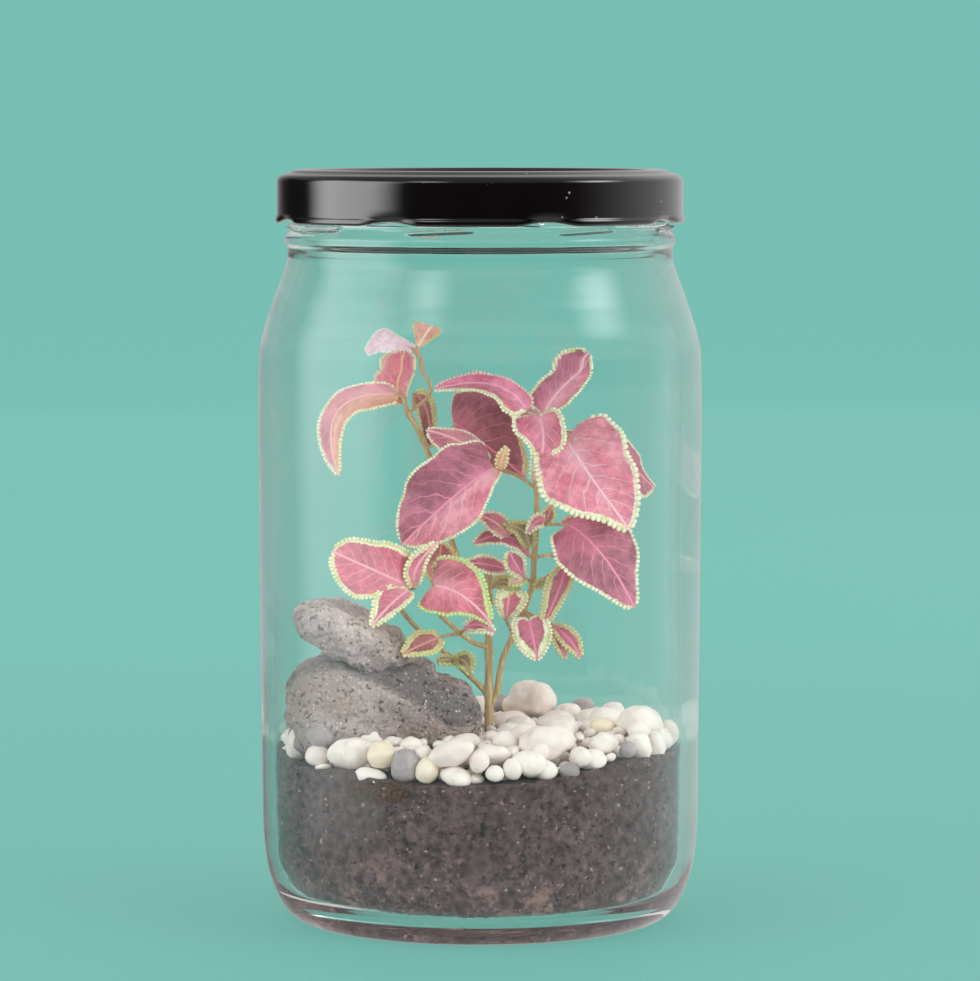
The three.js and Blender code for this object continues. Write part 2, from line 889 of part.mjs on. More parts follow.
      face: [0.1, -0.9, 0.3],
      halves: [1.5, 1.5],
      widest: 0.5,
      grid: "scrap",
    },
    {
      name: "brown_bract",
      root: [14.5, 0, 100],
      base: [16.5, -1, 100],
      crest: [17.5, -2, 102.5],
      tip: [18.5, -3, 105.5],
      face: [0, -1, 0.1],
      halves: [1.5, 1.5],
      widest: 0.5,
      grid: "scrap",
    },
    {
      name: "pointed_bract",
      root: [14.5, 0, 100.5],
      base: [16.5, -2, 101],
      crest: [14.5, -4, 101],
      tip: [12, -4, 98],
      face: [0, -0.95, 0.2],
      halves: [1.5, 1],
      widest: 0.4,
      grid: "scrap",
    },
    {
      name: "hidden_scrap",
      base: [20.5, -2.6, 100.4],
      crest: [25.5, -2, 101.5],
      tip: [28.5, -2, 102.5],
      face: [0, -0.8, 0.5],
      halves: [1.5, 1.5],
      widest: 0.5,
      grid: "scrap",
    },
    {
      name: "back_right_leaf",
      root: [14.5, 2, 123.5],
      base: [17.5, 8, 121],
      crest: [24.5, 18, 116],
      tip: [31, 27, 108.5],
      face: [0, 0.5, 0.8],
      halves: [7, 7],
      widest: 0.35,
      grid: "small",
    },
    {
      name: "back_left_leaf",
      root: [13.5, 2, 123],
      base: [16, 8, 126],
      crest: [14, 17, 127],
      tip: [9, 26, 121],
      face: [0, 0.5, 0.8],
      halves: [5.5, 5.5],
      widest: 0.35,
      grid: "small",
    },
    {
      name: "back_low_leaf",
      root: [15, 2, 91.5],
      base: [19, 8, 91.5],
      crest: [28, 16, 89.5],
      tip: [35.5, 22, 84.5],
      face: [0.1, 0.5, 0.8],
      halves: [5.5, 5.5],
      widest: 0.35,
      grid: "small",
    },
  ],
  shoot_main: [
    {
      name: "crossing_leaf",
      root: [2, 0, 88],
      base: [6.5, 0, 88.5],
      crest: [1, -3, 90],
      tip: [-4.5, -5, 90.5],
      face: [0, -0.8, 0.5],
      halves: [2, 2],
      widest: 0.4,
      grid: "small",
    },
    {
      name: "olive_leaf",
      root: [2, 1, 86.5],
      base: [3, 3, 83.5],
      crest: [6.5, 6, 84.5],
      tip: [10.5, 6, 82.5],
      face: [0, -0.8, 0.6],
      halves: [2, 2],
      widest: 0.4,
      grid: "small",
    },
    {
      name: "back_leaf",
      root: [2, 1, 80.5],
      base: [1, 5, 79.5],
      crest: [-1, 12, 79],
      tip: [-4.5, 20, 79],
      face: [0, 0.5, 0.8],
      halves: [4, 4],
      widest: 0.4,
      grid: "small",
    },
  ],
  shoot_lower_left: [
    {
      name: "cream_edged_leaf",
      root: [-18, -14, 85],
      base: [-19, -16, 86],
      crest: [-28.5, -20, 92],
      tip: [-36.5, -20, 95],
      face: [-0.2, -0.85, 0.45],
      halves: [8.5, 6],
      widest: 0.35,
      grid: "long",
    },
    {
      name: "pointed_leaf",
      root: [-18, -14, 85],
      base: [-17.5, -17, 85.5],
      crest: [-21.5, -22, 82.5],
      tip: [-26.5, -24, 76],
      face: [-0.1, -0.9, 0.4],
      halves: [3, 3.5],
      widest: 0.35,
      grid: "small",
    },
    {
      name: "upright_leaf",
      root: [-18, -14, 85],
      base: [-16, -16, 85],
      crest: [-14.5, -18, 92],
      tip: [-10.5, -17, 97],
      face: [0.1, -0.95, 0.1],
      halves: [3, 1],
      widest: 0.45,
      grid: "small",
    },
    {
      name: "small_leaf",
      root: [-7, -1, 64.5],
      base: [-6.5, -3, 65.5],
      crest: [-4, -5, 65.5],
      tip: [-3, -6, 62.5],
      face: [0, -0.9, 0.3],
      halves: [2, 2],
      widest: 0.45,
      grid: "scrap",
    },
    {
      name: "tiny_leaf",
      base: [-6.8, -1, 65.2],
      crest: [-9, -4.5, 65.8],
      tip: [-11, -5.5, 65.4],
      face: [0, -0.9, 0.3],
      halves: [1, 1],
      widest: 0.45,
      grid: "scrap",
    },
  ],
  shoot_mid_left: [
    {
      name: "green_edged_leaf",
      root: [-10, -13, 78.5],
      base: [-15, -18, 85.5],
      crest: [-6.5, -22, 83],
      tip: [2.5, -20, 77.5],
      face: [0.1, -0.85, 0.5],
      halves: [7.5, 7],
      widest: 0.4,
      grid: "long",
    },
    {
      name: "shaded_leaf",
      root: [-10, -12, 78.5],
      base: [-12, -12, 86.5],
      crest: [-10.5, -6, 91.5],
      tip: [-10, -3, 95.5],
      face: [0, -0.95, 0.2],
      halves: [3.5, 3.5],
      widest: 0.45,
      grid: "small",
    },
    {
      name: "tucked_leaf",
      root: [-5, -8, 73],
      base: [-4, -14, 74.5],
      crest: [-0.5, -16, 76],
      tip: [3.5, -17, 74],
      face: [0, -0.9, 0.4],
      halves: [1.5, 1.5],
      widest: 0.45,
      grid: "small",
    },
    {
      name: "round_small_leaf",
      root: [-5.5, -8, 72.5],
      base: [-10, -13, 72.5],
      crest: [-14.5, -17, 71],
      tip: [-19, -21, 69],
      face: [-0.1, -0.9, 0.4],
      halves: [3.5, 3.5],
      widest: 0.4,
      grid: "small",
    },
  ],
};

// Main stem and side shoots: the places along each, first and last radius, sides and steps
const STEMS = {
  shoot_main: {
    path: [
      [STEM_X, STEM_Y, STEM_FOOT_Z],
      [STEM_X, STEM_Y, 55],
      [STEM_X, STEM_Y, 69],
      [STEM_X, STEM_Y, 88.5],
    ],
    radii: [STEM_R, 0.85],
    grid: [8, 6],
  },
  shoot_upper_left: {
    path: [
      [1, 1.6, 76],
      [0, 2.4, 78],
      [-2.5, 4, 82.5],
      [-7, 6, 93.5],
      [-10.5, 8, 105],
      [-13, 8, 116],
      [-16, 8, 123],
      [-18.5, 8, 127.5],
    ],
    radii: [0.9, 0.65],
    grid: [6, 12],
  },
  shoot_right: {
    path: [
      [4.2, 0, 57.5],
      [4.9, 0, 62.5],
      [6, 0, 66.5],
      [8.5, 0, 71.5],
      [11.5, 0, 78.5],
      [13.5, 0, 84.5],
      [14, 0, 91.5],
      [14.5, 0, 97.5],
      [14.5, 0, 106.5],
      [14, 0, 116],
      [14, 0, 125.5],
    ],
    radii: [0.9, 0.65],
    grid: [6, 14],
  },
  shoot_lower_left: {
    path: [
      [0.1, 0, 58.2],
      [-4, 0.3, 62.3],
      [-8, -0.5, 66.5],
      [-11, -3.4, 69.2],
      [-15.5, -7, 74],
      [-19.5, -11, 80],
      [-18, -14, 85.5],
    ],
    radii: [0.75, 0.55],
    grid: [6, 10],
  },
  shoot_mid_left: {
    path: [
      [0.85, -1.05, 69],
      [-1.5, -4, 70],
      [-5, -8, 73],
      [-8, -11, 76],
      [-10, -13, 78.5],
      [-11, -15, 82],
      [-12, -17, 86.5],
    ],
    radii: [0.7, 0.5],
    grid: [6, 8],
  },
};
// Long leaf stalks that branch: the places along each
const STALKS = {
  shoot_right: [
    [
      [14, 0, 109.5],
      [10.5, -1, 112],
      [7.5, -2, 113.5],
      [3.5, -4, 114.5],
    ],
  ],
  shoot_upper_left: [
    [
      [-18, 8, 127.5],
      [-13.5, 8.5, 131.5],
      [-13, 8, 135],
      [-16, 7, 140.5],
      [-17.5, 7, 141.5],
    ],
  ],
};

// Half width of a leaf along its midrib: rounded at the base, widest early, drawn out at the tip
function leafSpread(share, widest) {
  const shifted = share ** (Math.log(0.5) / Math.log(widest));
  const fullness = shifted < 0.5 ? 0.6 : 0.95;
  return Math.max(Math.sin(Math.PI * shifted) ** fullness, 0.06);
}

function midrib({ base, crest, tip }) {
  const [first, middle, last] = [base, crest, tip].map((p) => new THREE.Vector3(...p));
  const control = middle.multiplyScalar(2).addScaledVector(first, -0.5).addScaledVector(last, -0.5);
  return new THREE.QuadraticBezierCurve3(first, control, last);
}

// A blade with a channelled midrib, a lightly waved face and a toothed edge
function blade(leaf) {
  const { halves, face, grid, widest } = leaf;
  const [cells, steps] = BLADE_GRIDS[grid];
  const curve = midrib(leaf);
  const up = new THREE.Vector3(...face).normalize();
  const upper = [];
  const lower = [];
  for (let i = 0; i <= steps; i++) {
    const share = i / steps;
    const centre = curve.getPoint(share);
    const along = curve.getTangent(share);
    const aside = new THREE.Vector3().crossVectors(along, up).normalize();
    const out = new THREE.Vector3().crossVectors(aside, along).normalize();
    const tooth = i % 2 ? 1 + TOOTH : 1 - TOOTH;
    const rows = [[], []];
    for (let j = 0; j <= cells; j++) {
      const across = (2 * j) / cells - 1;
      const half = halves[across < 0 ? 0 : 1] * leafSpread(share, widest);
      const reach = across * half * (Math.abs(across) === 1 ? tooth : 1);
      const channel = CHANNEL * Math.abs(across) * half;
      const wave = WAVE * half * across * across * Math.cos(3 * Math.PI * share);
      const point = centre.clone().addScaledVector(aside, reach);
      point.addScaledVector(out, channel + wave);
      rows[0].push(point.clone().addScaledVector(out, BLADE / 2));
      rows[1].push(point.addScaledVector(out, -BLADE / 2));
    }
    upper.push(rows[0]);
    lower.push(rows[1]);
  }
  return slabBetween(upper, lower);
}

// The place on the stems nearest to a wanted place
function onStems(wanted, paths) {
  const target = new THREE.Vector3(...wanted);
  let best = new THREE.Vector3(Infinity, 0, 0);
  for (const path of paths) {
    const curve = new THREE.CatmullRomCurve3(path.map((p) => new THREE.Vector3(...p)));
    for (const place of curve.getPoints(80))
      if (place.distanceTo(target) < best.distanceTo(target)) best = place;
  }
  return best.toArray();
}

// The stalk from the stem to a blade, running on under the first part of its midrib
function leafStalk(leaf, paths) {
  const under = midrib(leaf).getPoint(0.06).toArray();
  return stem([onStems(leaf.root, paths), leaf.base, under], STALK_R, STALK_R, STALK_SIDES, 2);
}

function addPlant() {
  for (const [name, { path, radii, grid }] of Object.entries(STEMS)) {
    const stalks = STALKS[name] ?? [];
    const pieces = [stem(path, ...radii, ...grid)];
    for (const stalk of stalks) pieces.push(stem(stalk, STALK_R, STALK_R, STALK_SIDES, 6));
    for (const leaf of LEAVES[name]) {
      pieces.push(blade(leaf));
      if (leaf.root) pieces.push(leafStalk(leaf, [path, ...stalks]));
    }
    addPart(name, joined(pieces), "leaf");
  }
}

addPart("jar_glass", jarGlass(), "glass");
addPart("lid_shell", lidShell(), "blackSteel");
addPart("lid_liner", lidLiner(), "sealant");
addGround();
addPlant();

export default group;
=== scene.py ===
import math
import random

import bpy
import numpy as np
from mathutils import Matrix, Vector, noise


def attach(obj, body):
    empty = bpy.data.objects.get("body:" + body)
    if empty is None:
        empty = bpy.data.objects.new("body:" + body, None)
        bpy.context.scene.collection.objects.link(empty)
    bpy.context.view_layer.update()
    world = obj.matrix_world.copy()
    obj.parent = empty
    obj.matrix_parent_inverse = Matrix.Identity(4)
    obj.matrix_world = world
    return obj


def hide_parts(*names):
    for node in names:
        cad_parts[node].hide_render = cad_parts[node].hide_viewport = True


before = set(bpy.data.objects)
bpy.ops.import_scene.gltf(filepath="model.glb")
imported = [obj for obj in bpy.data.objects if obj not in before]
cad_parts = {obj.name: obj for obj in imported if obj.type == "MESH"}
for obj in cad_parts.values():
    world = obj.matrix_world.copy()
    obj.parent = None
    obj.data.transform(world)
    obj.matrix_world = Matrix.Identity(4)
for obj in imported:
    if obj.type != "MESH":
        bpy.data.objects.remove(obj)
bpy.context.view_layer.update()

MM = 0.001

# Jar and lid
INSIDE_R = 51.7
FLOOR_Z = 4.2  # inside, in the middle
WALL_R = 56.1
FINISH_R = 47.4  # the upright part that the lid screws on
RIM_Z = 187.15
LID_BOTTOM = 176.1
LID_TOP = 189.5
LUGS = 8
FIRST_LUG = -26  # degrees from the front towards +X
LUG_HALF = 5.5  # degrees
LUG_IN = 2.3  # from the inside of the skirt
LUG_DENT = 0.9  # depth of the dent that it leaves outside
LUG_UP = 1.0
GAP = 0.35  # between the glass and what lies in it
ROUND = 256  # segments of the jar and the lid

# Plant
STEM_X = 2
STEM_Y = 0
STEM_ROOM = 1.7  # that stones leave round the stem's axis
CHANNEL = 0.16  # rise of a leaf's edge over its midrib, as a share of its half width
WAVE = 0.04  # of a leaf's edge, up and down
BLADE = 0.42  # leaf thickness
STALK_R = 0.42
STALK_SAG = 0.25  # how far a leaf stalk lies under its blade
STEM_KNOTS = (57, 68, 74.5)  # heights where the main stem is thicker
KNOT_SWELL = 0.28  # of the radius
KNOT_REACH = 1.1  # along the stem
TOOTH_OUT = 0.15  # how far the middle of a round tooth lies outside the edge, as a share of its length
TOOTH_HALF = 0.34  # half thickness at most
ALL_MARGIN = 5.0  # a margin wider than any tooth, so that a tooth has the margin's colour alone
VEIN_PAIRS = 7.0
VEIN_SLANT = 0.42  # how much further along the leaf a side vein ends than it starts, as a share of its length
VEIN_BEND = 1.15  # 1 would be a straight vein
VEIN_DROOP = 0.35  # how much less the veins slant towards the tip

# Ground
SOIL_TOP = 44.5
GRAVEL_TOP = 48
PEBBLE_REACH = 51.0  # pebbles at the glass touch this radius
PEBBLE_PITCH = 11.5  # of the unseen pebbles behind
PEBBLE_GRID_REACH = 49
FILLER_PEBBLES = 560
FILLER_TRIES = 20000
CRUMBS = 900
LARGE_OFF = ((-43, -5), (-23, 9))  # x and y that the unseen pebbles leave to the rocks
SMALL_OFF = ((-46, -2), (-27, 11))  # the same for the smaller ones between them
PEAT = (-24, -46, 38)  # middle of a darker, coarser patch in the soil
PEAT_REACH = (11, 12, 3.2)

# Picture
CAMERA_PLACE = (2.5, -1177, 203)
CAMERA_PITCH = 4.6  # degrees down
CAMERA_LENS = 171.2
STAGE_ROUND = 96  # segments of the floor
AMBIENT = 0.8  # of the room on matt surfaces
LIGHT_AIM = (0, 0, 95)  # the middle of the jar


# Colour and numbers
def tint(red, green, blue):
    """An sRGB colour as the linear value that a shader takes."""

    def linear(part):
        share = part / 255
        return share / 12.92 if share <= 0.04045 else ((share + 0.055) / 1.055) ** 2.4

    return (linear(red), linear(green), linear(blue), 1.0)


def seeded(seed):
    """The same draws as the construction's generator gives for this seed."""
    mask = 0xFFFFFFFF
    state = seed & mask

    def draw():
        nonlocal state
        state = (state + 0x6D2B79F5) & mask
        word = ((state ^ (state >> 15)) * (1 | state)) & mask
        word = ((word + (word ^ (word >> 7)) * (61 | word)) & mask) ^ word
        return ((word ^ (word >> 14)) & mask) / 4294967296

    return draw


def within(value, span):
    return (value > span[0]) & (value < span[1])


def soft_step(low, high, value):
    share = np.clip((value - low) / (high - low), 0, 1)
    return share * share * (3 - 2 * share)


def roughness_at(points, size, seed, octaves=3):
    """Fractal noise from about -1 to 1 at each point, with lumps of the given size."""
    shift = Vector((seed * 13.7, seed * 7.1, seed * 3.3))
    flat = np.asarray(points, float).reshape(-1, 3) / size
    values = [noise.fractal(Vector(p) + shift, 0.9, 2.0, octaves) for p in flat]
    return np.array(values).reshape(np.asarray(points).shape[:-1])


def creases_at(points, size, seed):
    """Zero on the creases between facets of the given size, rising to about 1 in their middles."""
    shift = Vector((seed * 5.9, seed * 11.3, seed * 2.7))
    flat = np.asarray(points, float).reshape(-1, 3) / size
    values = []
    for p in flat:
        distances = noise.voronoi(Vector(p) + shift)[0]
        values.append(distances[1] - distances[0])
    return np.array(values).reshape(np.asarray(points).shape[:-1])


# Meshes
def signed_volume(points, triangles):
    a, b, c = (points[triangles[:, i]] for i in range(3))
    return float(np.einsum("ij,ij->i", a, np.cross(b, c)).sum() / 6)


def new_piece(name, points, faces, material):
    """A mesh object from points in millimetres, with its faces turned outwards."""
    points = np.asarray(points, float)
    triangles = np.array([t for f in faces for t in ((f[0], f[1], f[2]), (f[0], f[2], f[-1]))])
    if signed_volume(points, triangles) < 0:
        faces = [tuple(reversed(f)) for f in faces]
    mesh = bpy.data.meshes.new(name)
    mesh.from_pydata((points * MM).tolist(), [], [tuple(int(i) for i in f) for f in faces])
    mesh.polygons.foreach_set("use_smooth", [True] * len(mesh.polygons))
    mesh.materials.append(material)
    piece = bpy.data.objects.new(name, mesh)
    bpy.context.scene.collection.objects.link(piece)
    return piece


def add_values(piece, name, values):
    """One number or one colour for each point of the piece."""
    values = np.asarray(values, np.float32)
    if values.ndim == 1:
        layer = piece.data.attributes.new(name, "FLOAT", "POINT")
        layer.data.foreach_set("value", values)
    else:
        layer = piece.data.attributes.new(name, "FLOAT_COLOR", "POINT")
        layer.data.foreach_set("color", values.ravel())


def ring_faces(rows, around):
    faces = []
    for i in range(rows - 1):
        for j in range(around):
            a = i * around + j
            b = i * around + (j + 1) % around
            faces.append((a, b, b + around, a + around))
    return faces


def ring_shape(rings, start, end):
    """Points and faces of a closed stack of rings, with one pole point at each end."""
    rows, around = rings.shape[:2]
    points = np.vstack([rings.reshape(-1, 3), start, end])
    faces = ring_faces(rows, around)
    pole = rows * around
    last = (rows - 1) * around
    for j in range(around):
        after = (j + 1) % around
        faces.append((after, j, pole))
        faces.append((last + j, last + after, pole + 1))
    return points, faces


def rounded(profile, spacing, corner_steps=5):
    """A line through the profile's [radius, height, fillet] points, its corners rounded."""
    corners = [np.array(p[:2], float) for p in profile]
    line = [corners[0]]
    for i in range(1, len(corners) - 1):
        before = corners[i - 1] - corners[i]
        after = corners[i + 1] - corners[i]
        fillet = profile[i][2] if len(profile[i]) > 2 else 0
        reach = min(fillet, 0.48 * np.linalg.norm(before), 0.48 * np.linalg.norm(after))
        if reach <= 0:
            line.append(corners[i])
            continue
        first = corners[i] + before / np.linalg.norm(before) * reach
        last = corners[i] + after / np.linalg.norm(after) * reach
        for step in range(corner_steps + 1):
            t = step / corner_steps
            line.append((1 - t) ** 2 * first + 2 * t * (1 - t) * corners[i] + t * t * last)
    line.append(corners[-1])
    fine = [line[0]]
    for a, b in zip(line, line[1:]):
        count = max(1, math.ceil(np.linalg.norm(b - a) / spacing((a + b) / 2)))
        fine.extend(a + (b - a) * k / count for k in range(1, count + 1))
    return np.array(fine)


def lathe_rings(line, segments, shape=None):
    """Rings of a line turned round the jar's axis; shape may change radius and height by angle."""
    degrees = np.arange(segments) * 360 / segments
    radius = np.repeat(line[:, :1], segments, axis=1)
    height = np.repeat(line[:, 1:], segments, axis=1)
    around = np.repeat(degrees[None, :], len(line), axis=0)
    if shape:
        radius, height = shape(radius, height, around)
    turn = np.radians(around)
    return np.stack([radius * np.sin(turn), -radius * np.cos(turn), height], axis=-1)


def lathe(name, profile, material, spacing, shape):
    """A closed body turned round the axis, from a profile that starts and ends on it."""
    line = rounded(profile, spacing)
    rings = lathe_rings(line[1:-1], ROUND, shape)
    points, faces = ring_shape(rings, [0, 0, line[0][1]], [0, 0, line[-1][1]])
    return new_piece(name, points, faces, material)


def smooth_path(places, steps):
    """Points along a centripetal curve through the places, steps to each stretch."""
    p = [np.array(q, float) for q in places]
    p = [2 * p[0] - p[1], *p, 2 * p[-1] - p[-2]]
    line = []
    for p0, p1, p2, p3 in zip(p, p[1:], p[2:], p[3:]):
        d0, d1, d2 = (math.sqrt(max(np.linalg.norm(b - a), 1e-4)) for a, b in ((p0, p1), (p1, p2), (p2, p3)))
        leave = ((p1 - p0) / d0 - (p2 - p0) / (d0 + d1) + (p2 - p1) / d1) * d1
        arrive = ((p2 - p1) / d1 - (p3 - p1) / (d1 + d2) + (p3 - p2) / d2) * d1
        for k in range(steps):
            t = k / steps
            line.append(
                (2 * t**3 - 3 * t**2 + 1) * p1
                + (t**3 - 2 * t**2 + t) * leave
                + (3 * t**2 - 2 * t**3) * p2
                + (t**3 - t**2) * arrive
            )
    line.append(p[-2])
    return np.array(line)


def unit(vectors):
    vectors = np.asarray(vectors, float)
    return vectors / np.maximum(np.linalg.norm(vectors, axis=-1, keepdims=True), 1e-9)


def tube_shape(line, radii, sides):
    """Points and faces of a round-ended tube along a line."""
    along = unit(np.gradient(line, axis=0))
    side = unit(np.cross(along[0], [0.31, 0.95, 0.12]))
    rings = []
    for centre, direction, radius in zip(line, along, radii):
        side = unit(side - direction * np.dot(side, direction))
        other = np.cross(direction, side)
        turn = np.arange(sides) * 2 * math.pi / sides
        rings.append(centre + radius * (np.outer(np.cos(turn), side) + np.outer(np.sin(turn), other)))
    start = line[0] - along[0] * radii[0] * 0.5
    end = line[-1] + along[-1] * radii[-1] * 0.5
    return ring_shape(np.array(rings), start, end)


def merged(shapes):
    """Several shapes as the points and faces of one."""
    points = []
    faces = []
    count = 0
    for some_points, some_faces in shapes:
        points.append(np.asarray(some_points))
        faces.extend(tuple(i + count for i in f) for f in some_faces)
        count += len(some_points)
    return np.vstack(points), faces


# Shader nodes
def node(tree, kind, settings=None, inputs=None):
    made = tree.nodes.new(kind)
    for key, value in (settings or {}).items():
        setattr(made, key, value)
    for key, value in (inputs or {}).items():
        if isinstance(value, bpy.types.NodeSocket):
            tree.links.new(value, made.inputs[key])
        else:
            made.inputs[key].default_value = value
    return made


def maths(tree, operation, first, second=0.0, third=0.0):
    inputs = {0: first, 1: second, 2: third}
    return node(tree, "ShaderNodeMath", {"operation": operation}, inputs).outputs[0]


def times(tree, first, second):
    return maths(tree, "MULTIPLY", first, second)


def scaled(tree, value, factor, added):
    return maths(tree, "MULTIPLY_ADD", value, factor, added)


def mixed(tree, factor, first, second, blend="MIX"):
    settings = {"data_type": "RGBA", "blend_type": blend}
    return node(tree, "ShaderNodeMix", settings, {0: factor, 6: first, 7: second}).outputs[2]


def laid_over(tree, tone, mask, colour, share=1.0):
    """The tone with a colour laid over it where the mask is 1, there by the given share."""
    if share < 1.0:
        mask = times(tree, mask, share)
    return mixed(tree, mask, tone, colour)


def between(tree, value, low, high):
    """A soft step from 0 at low to 1 at high; low may be the larger."""
    settings = {"interpolation_type": "SMOOTHSTEP"}
    inputs = {"Value": value, "From Min": low, "From Max": high}
    return node(tree, "ShaderNodeMapRange", settings, inputs).outputs["Result"]


def cloud(tree, place, scale, detail=3.0, roughness=0.55):
    inputs = {"Vector": place, "Scale": scale, "Detail": detail, "Roughness": roughness}
    return node(tree, "ShaderNodeTexNoise", None, inputs).outputs[0]


def cells(tree, place, scale, feature="F1"):
    settings = {"feature": feature}
    inputs = {"Vector": place, "Scale": scale}
    return node(tree, "ShaderNodeTexVoronoi", settings, inputs).outputs["Distance"]


def length_of(tree, vector):
    return node(tree, "ShaderNodeVectorMath", {"operation": "LENGTH"}, {0: vector}).outputs["Value"]


def height_of(tree, vector):
    return node(tree, "ShaderNodeSeparateXYZ", None, {0: vector}).outputs["Z"]


def stretched(tree, place, upright):
    """The place with its height scaled, so that a pattern on it is drawn out or packed."""
    inputs = {"Vector": place, "Scale": (1.0, 1.0, upright)}
    return node(tree, "ShaderNodeMapping", None, inputs).outputs[0]


def own_place(tree):
    return node(tree, "ShaderNodeTexCoord").outputs["Object"]


def own_value(tree, name):
    return node(tree, "ShaderNodeAttribute", {"attribute_name": name}).outputs["Fac"]


def own_colour(tree, name):
    return node(tree, "ShaderNodeAttribute", {"attribute_name": name}).outputs["Color"]


def bump(tree, height, strength, distance):
    inputs = {"Height": height, "Strength": strength, "Distance": distance * MM}
    return node(tree, "ShaderNodeBump", None, inputs).outputs["Normal"]


def new_material(name, **values):
    """A material with its Principled shader's sockets set; words in a socket's name are joined by _."""
    material = bpy.data.materials.new(name)
    material.use_nodes = True
    tree = material.node_tree
    shader = tree.nodes["Principled BSDF"]
    for key, value in values.items():
        shader.inputs[key.replace("_", " ")].default_value = value
    return material, tree, shader


def feed(tree, shader, **sockets):
    for key, value in sockets.items():
        tree.links.new(value, shader.inputs[key.replace("_", " ")])


def shader_group(name, inputs, outputs):
    tree = bpy.data.node_groups.new(name, "ShaderNodeTree")
    for label, kind, value in inputs:
        socket = tree.interface.new_socket(label, in_out="INPUT", socket_type="NodeSocket" + kind)
        if value is not None:
            socket.default_value = value
    for label in outputs:
        tree.interface.new_socket(label, in_out="OUTPUT", socket_type="NodeSocketFloat")
    return tree, tree.nodes.new("NodeGroupInput"), tree.nodes.new("NodeGroupOutput")


def use_group(tree, group, **inputs):
    made = tree.nodes.new("ShaderNodeGroup")
    made.node_tree = group
    for key, value in inputs.items():
        socket = made.inputs[key.replace("_", " ")]
        if isinstance(value, bpy.types.NodeSocket):
            tree.links.new(value, socket)
        else:
            socket.default_value = value
    return made.outputs


def mineral_grain():
    """Masks of mottling, of sunken specks that the materials darken as painted shade, and of glinting grains
    that the rock paints pale as a painted highlight, with the relief that they give, for stone and earth.
    """
    inputs = [("Place", "Vector", None), ("Grain", "Float", 900.0), ("Mottle Scale", "Float", 160.0)]
    tree, given, result = shader_group("mineral_grain", inputs, ["Mottle", "Shaded Pit", "Glint", "Relief"])
    place = given.outputs["Place"]
    grain = given.outputs["Grain"]
    mottle = cloud(tree, place, given.outputs["Mottle Scale"], 5.0, 0.6)
    fine = cloud(tree, place, grain, 4.0, 0.65)
    shaded_pits = between(tree, fine, 0.42, 0.33)
    speckle = cells(tree, place, grain)
    patchy = between(tree, cloud(tree, place, times(tree, grain, 0.25)), 0.5, 0.66)
    glint = times(tree, between(tree, speckle, 0.3, 0.18), patchy)
    relief = maths(tree, "SUBTRACT", maths(tree, "ADD", fine, mottle), shaded_pits)
    for label, value in (("Mottle", mottle), ("Shaded Pit", shaded_pits), ("Glint", glint), ("Relief", relief)):
        tree.links.new(value, result.inputs[label])
    return tree


def faint_wear():
    """Smears and fine dust that handling leaves on a hard smooth surface."""
    inputs = [("Place", "Vector", None), ("Dust Scale", "Float", 700.0)]
    tree, given, result = shader_group("faint_wear", inputs, ["Smear", "Dust"])
    place = given.outputs["Place"]
    smear = between(tree, cloud(tree, stretched(tree, place, 0.35), 45.0, 6.0, 0.7), 0.5, 0.75)
    speck = cells(tree, place, given.outputs["Dust Scale"])
    sparse = between(tree, cloud(tree, place, 120.0), 0.58, 0.7)
    dust = times(tree, between(tree, speck, 0.16, 0.08), sparse)
    tree.links.new(smear, result.inputs["Smear"])
    tree.links.new(dust, result.inputs["Dust"])
    return tree


GRAIN = mineral_grain()
WEAR = faint_wear()


# Materials
def jar_glass_material():
    """Clear glass with a thin haze towards its edges. Light that only passes, or that has been mirrored
    twice inside the wall, goes straight on, so that the foot and the contents don't turn black."""
    values = {"Base_Color": tint(250, 253, 252), "Transmission_Weight": 1.0, "IOR": 1.49}
    material, tree, shader = new_material("clear_soda_glass", **values)
    place = own_place(tree)
    wear = use_group(tree, WEAR, Place=place, Dust_Scale=500.0)
    roughness = scaled(tree, wear["Smear"], 0.02, 0.004)
    ripple = cloud(tree, place, 55.0, 2.0)
    feed(tree, shader, Roughness=roughness, Normal=bump(tree, ripple, 0.05, 1.0))
    film = node(tree, "ShaderNodeBsdfDiffuse", None, {"Color": tint(236, 248, 245)}).outputs[0]
    facing = node(tree, "ShaderNodeLayerWeight", None, {"Blend": 0.5}).outputs["Facing"]
    haze = scaled(tree, cloud(tree, place, 16.0, 3.0), 0.18, 0.05)
    height = height_of(tree, place)
    haze = times(tree, haze, between(tree, height, 12 * MM, 30 * MM))
    haze = times(tree, maths(tree, "POWER", facing, 1.25), haze)
    misted = node(tree, "ShaderNodeMixShader", None, {0: haze, 1: shader.outputs[0], 2: film}).outputs[0]
    open_way = node(tree, "ShaderNodeBsdfTransparent", None, {"Color": tint(252, 254, 253)}).outputs[0]
    ray = node(tree, "ShaderNodeLightPath").outputs
    passing = maths(tree, "MAXIMUM", ray["Is Shadow Ray"], ray["Is Diffuse Ray"])
    much_mirrored = maths(tree, "GREATER_THAN", ray["Glossy Depth"], 1.5)
    passing = maths(tree, "MAXIMUM", passing, much_mirrored)
    mix = node(tree, "ShaderNodeMixShader", None, {0: passing, 1: misted, 2: open_way}).outputs[0]
    tree.links.new(mix, tree.nodes["Material Output"].inputs["Surface"])
    return material


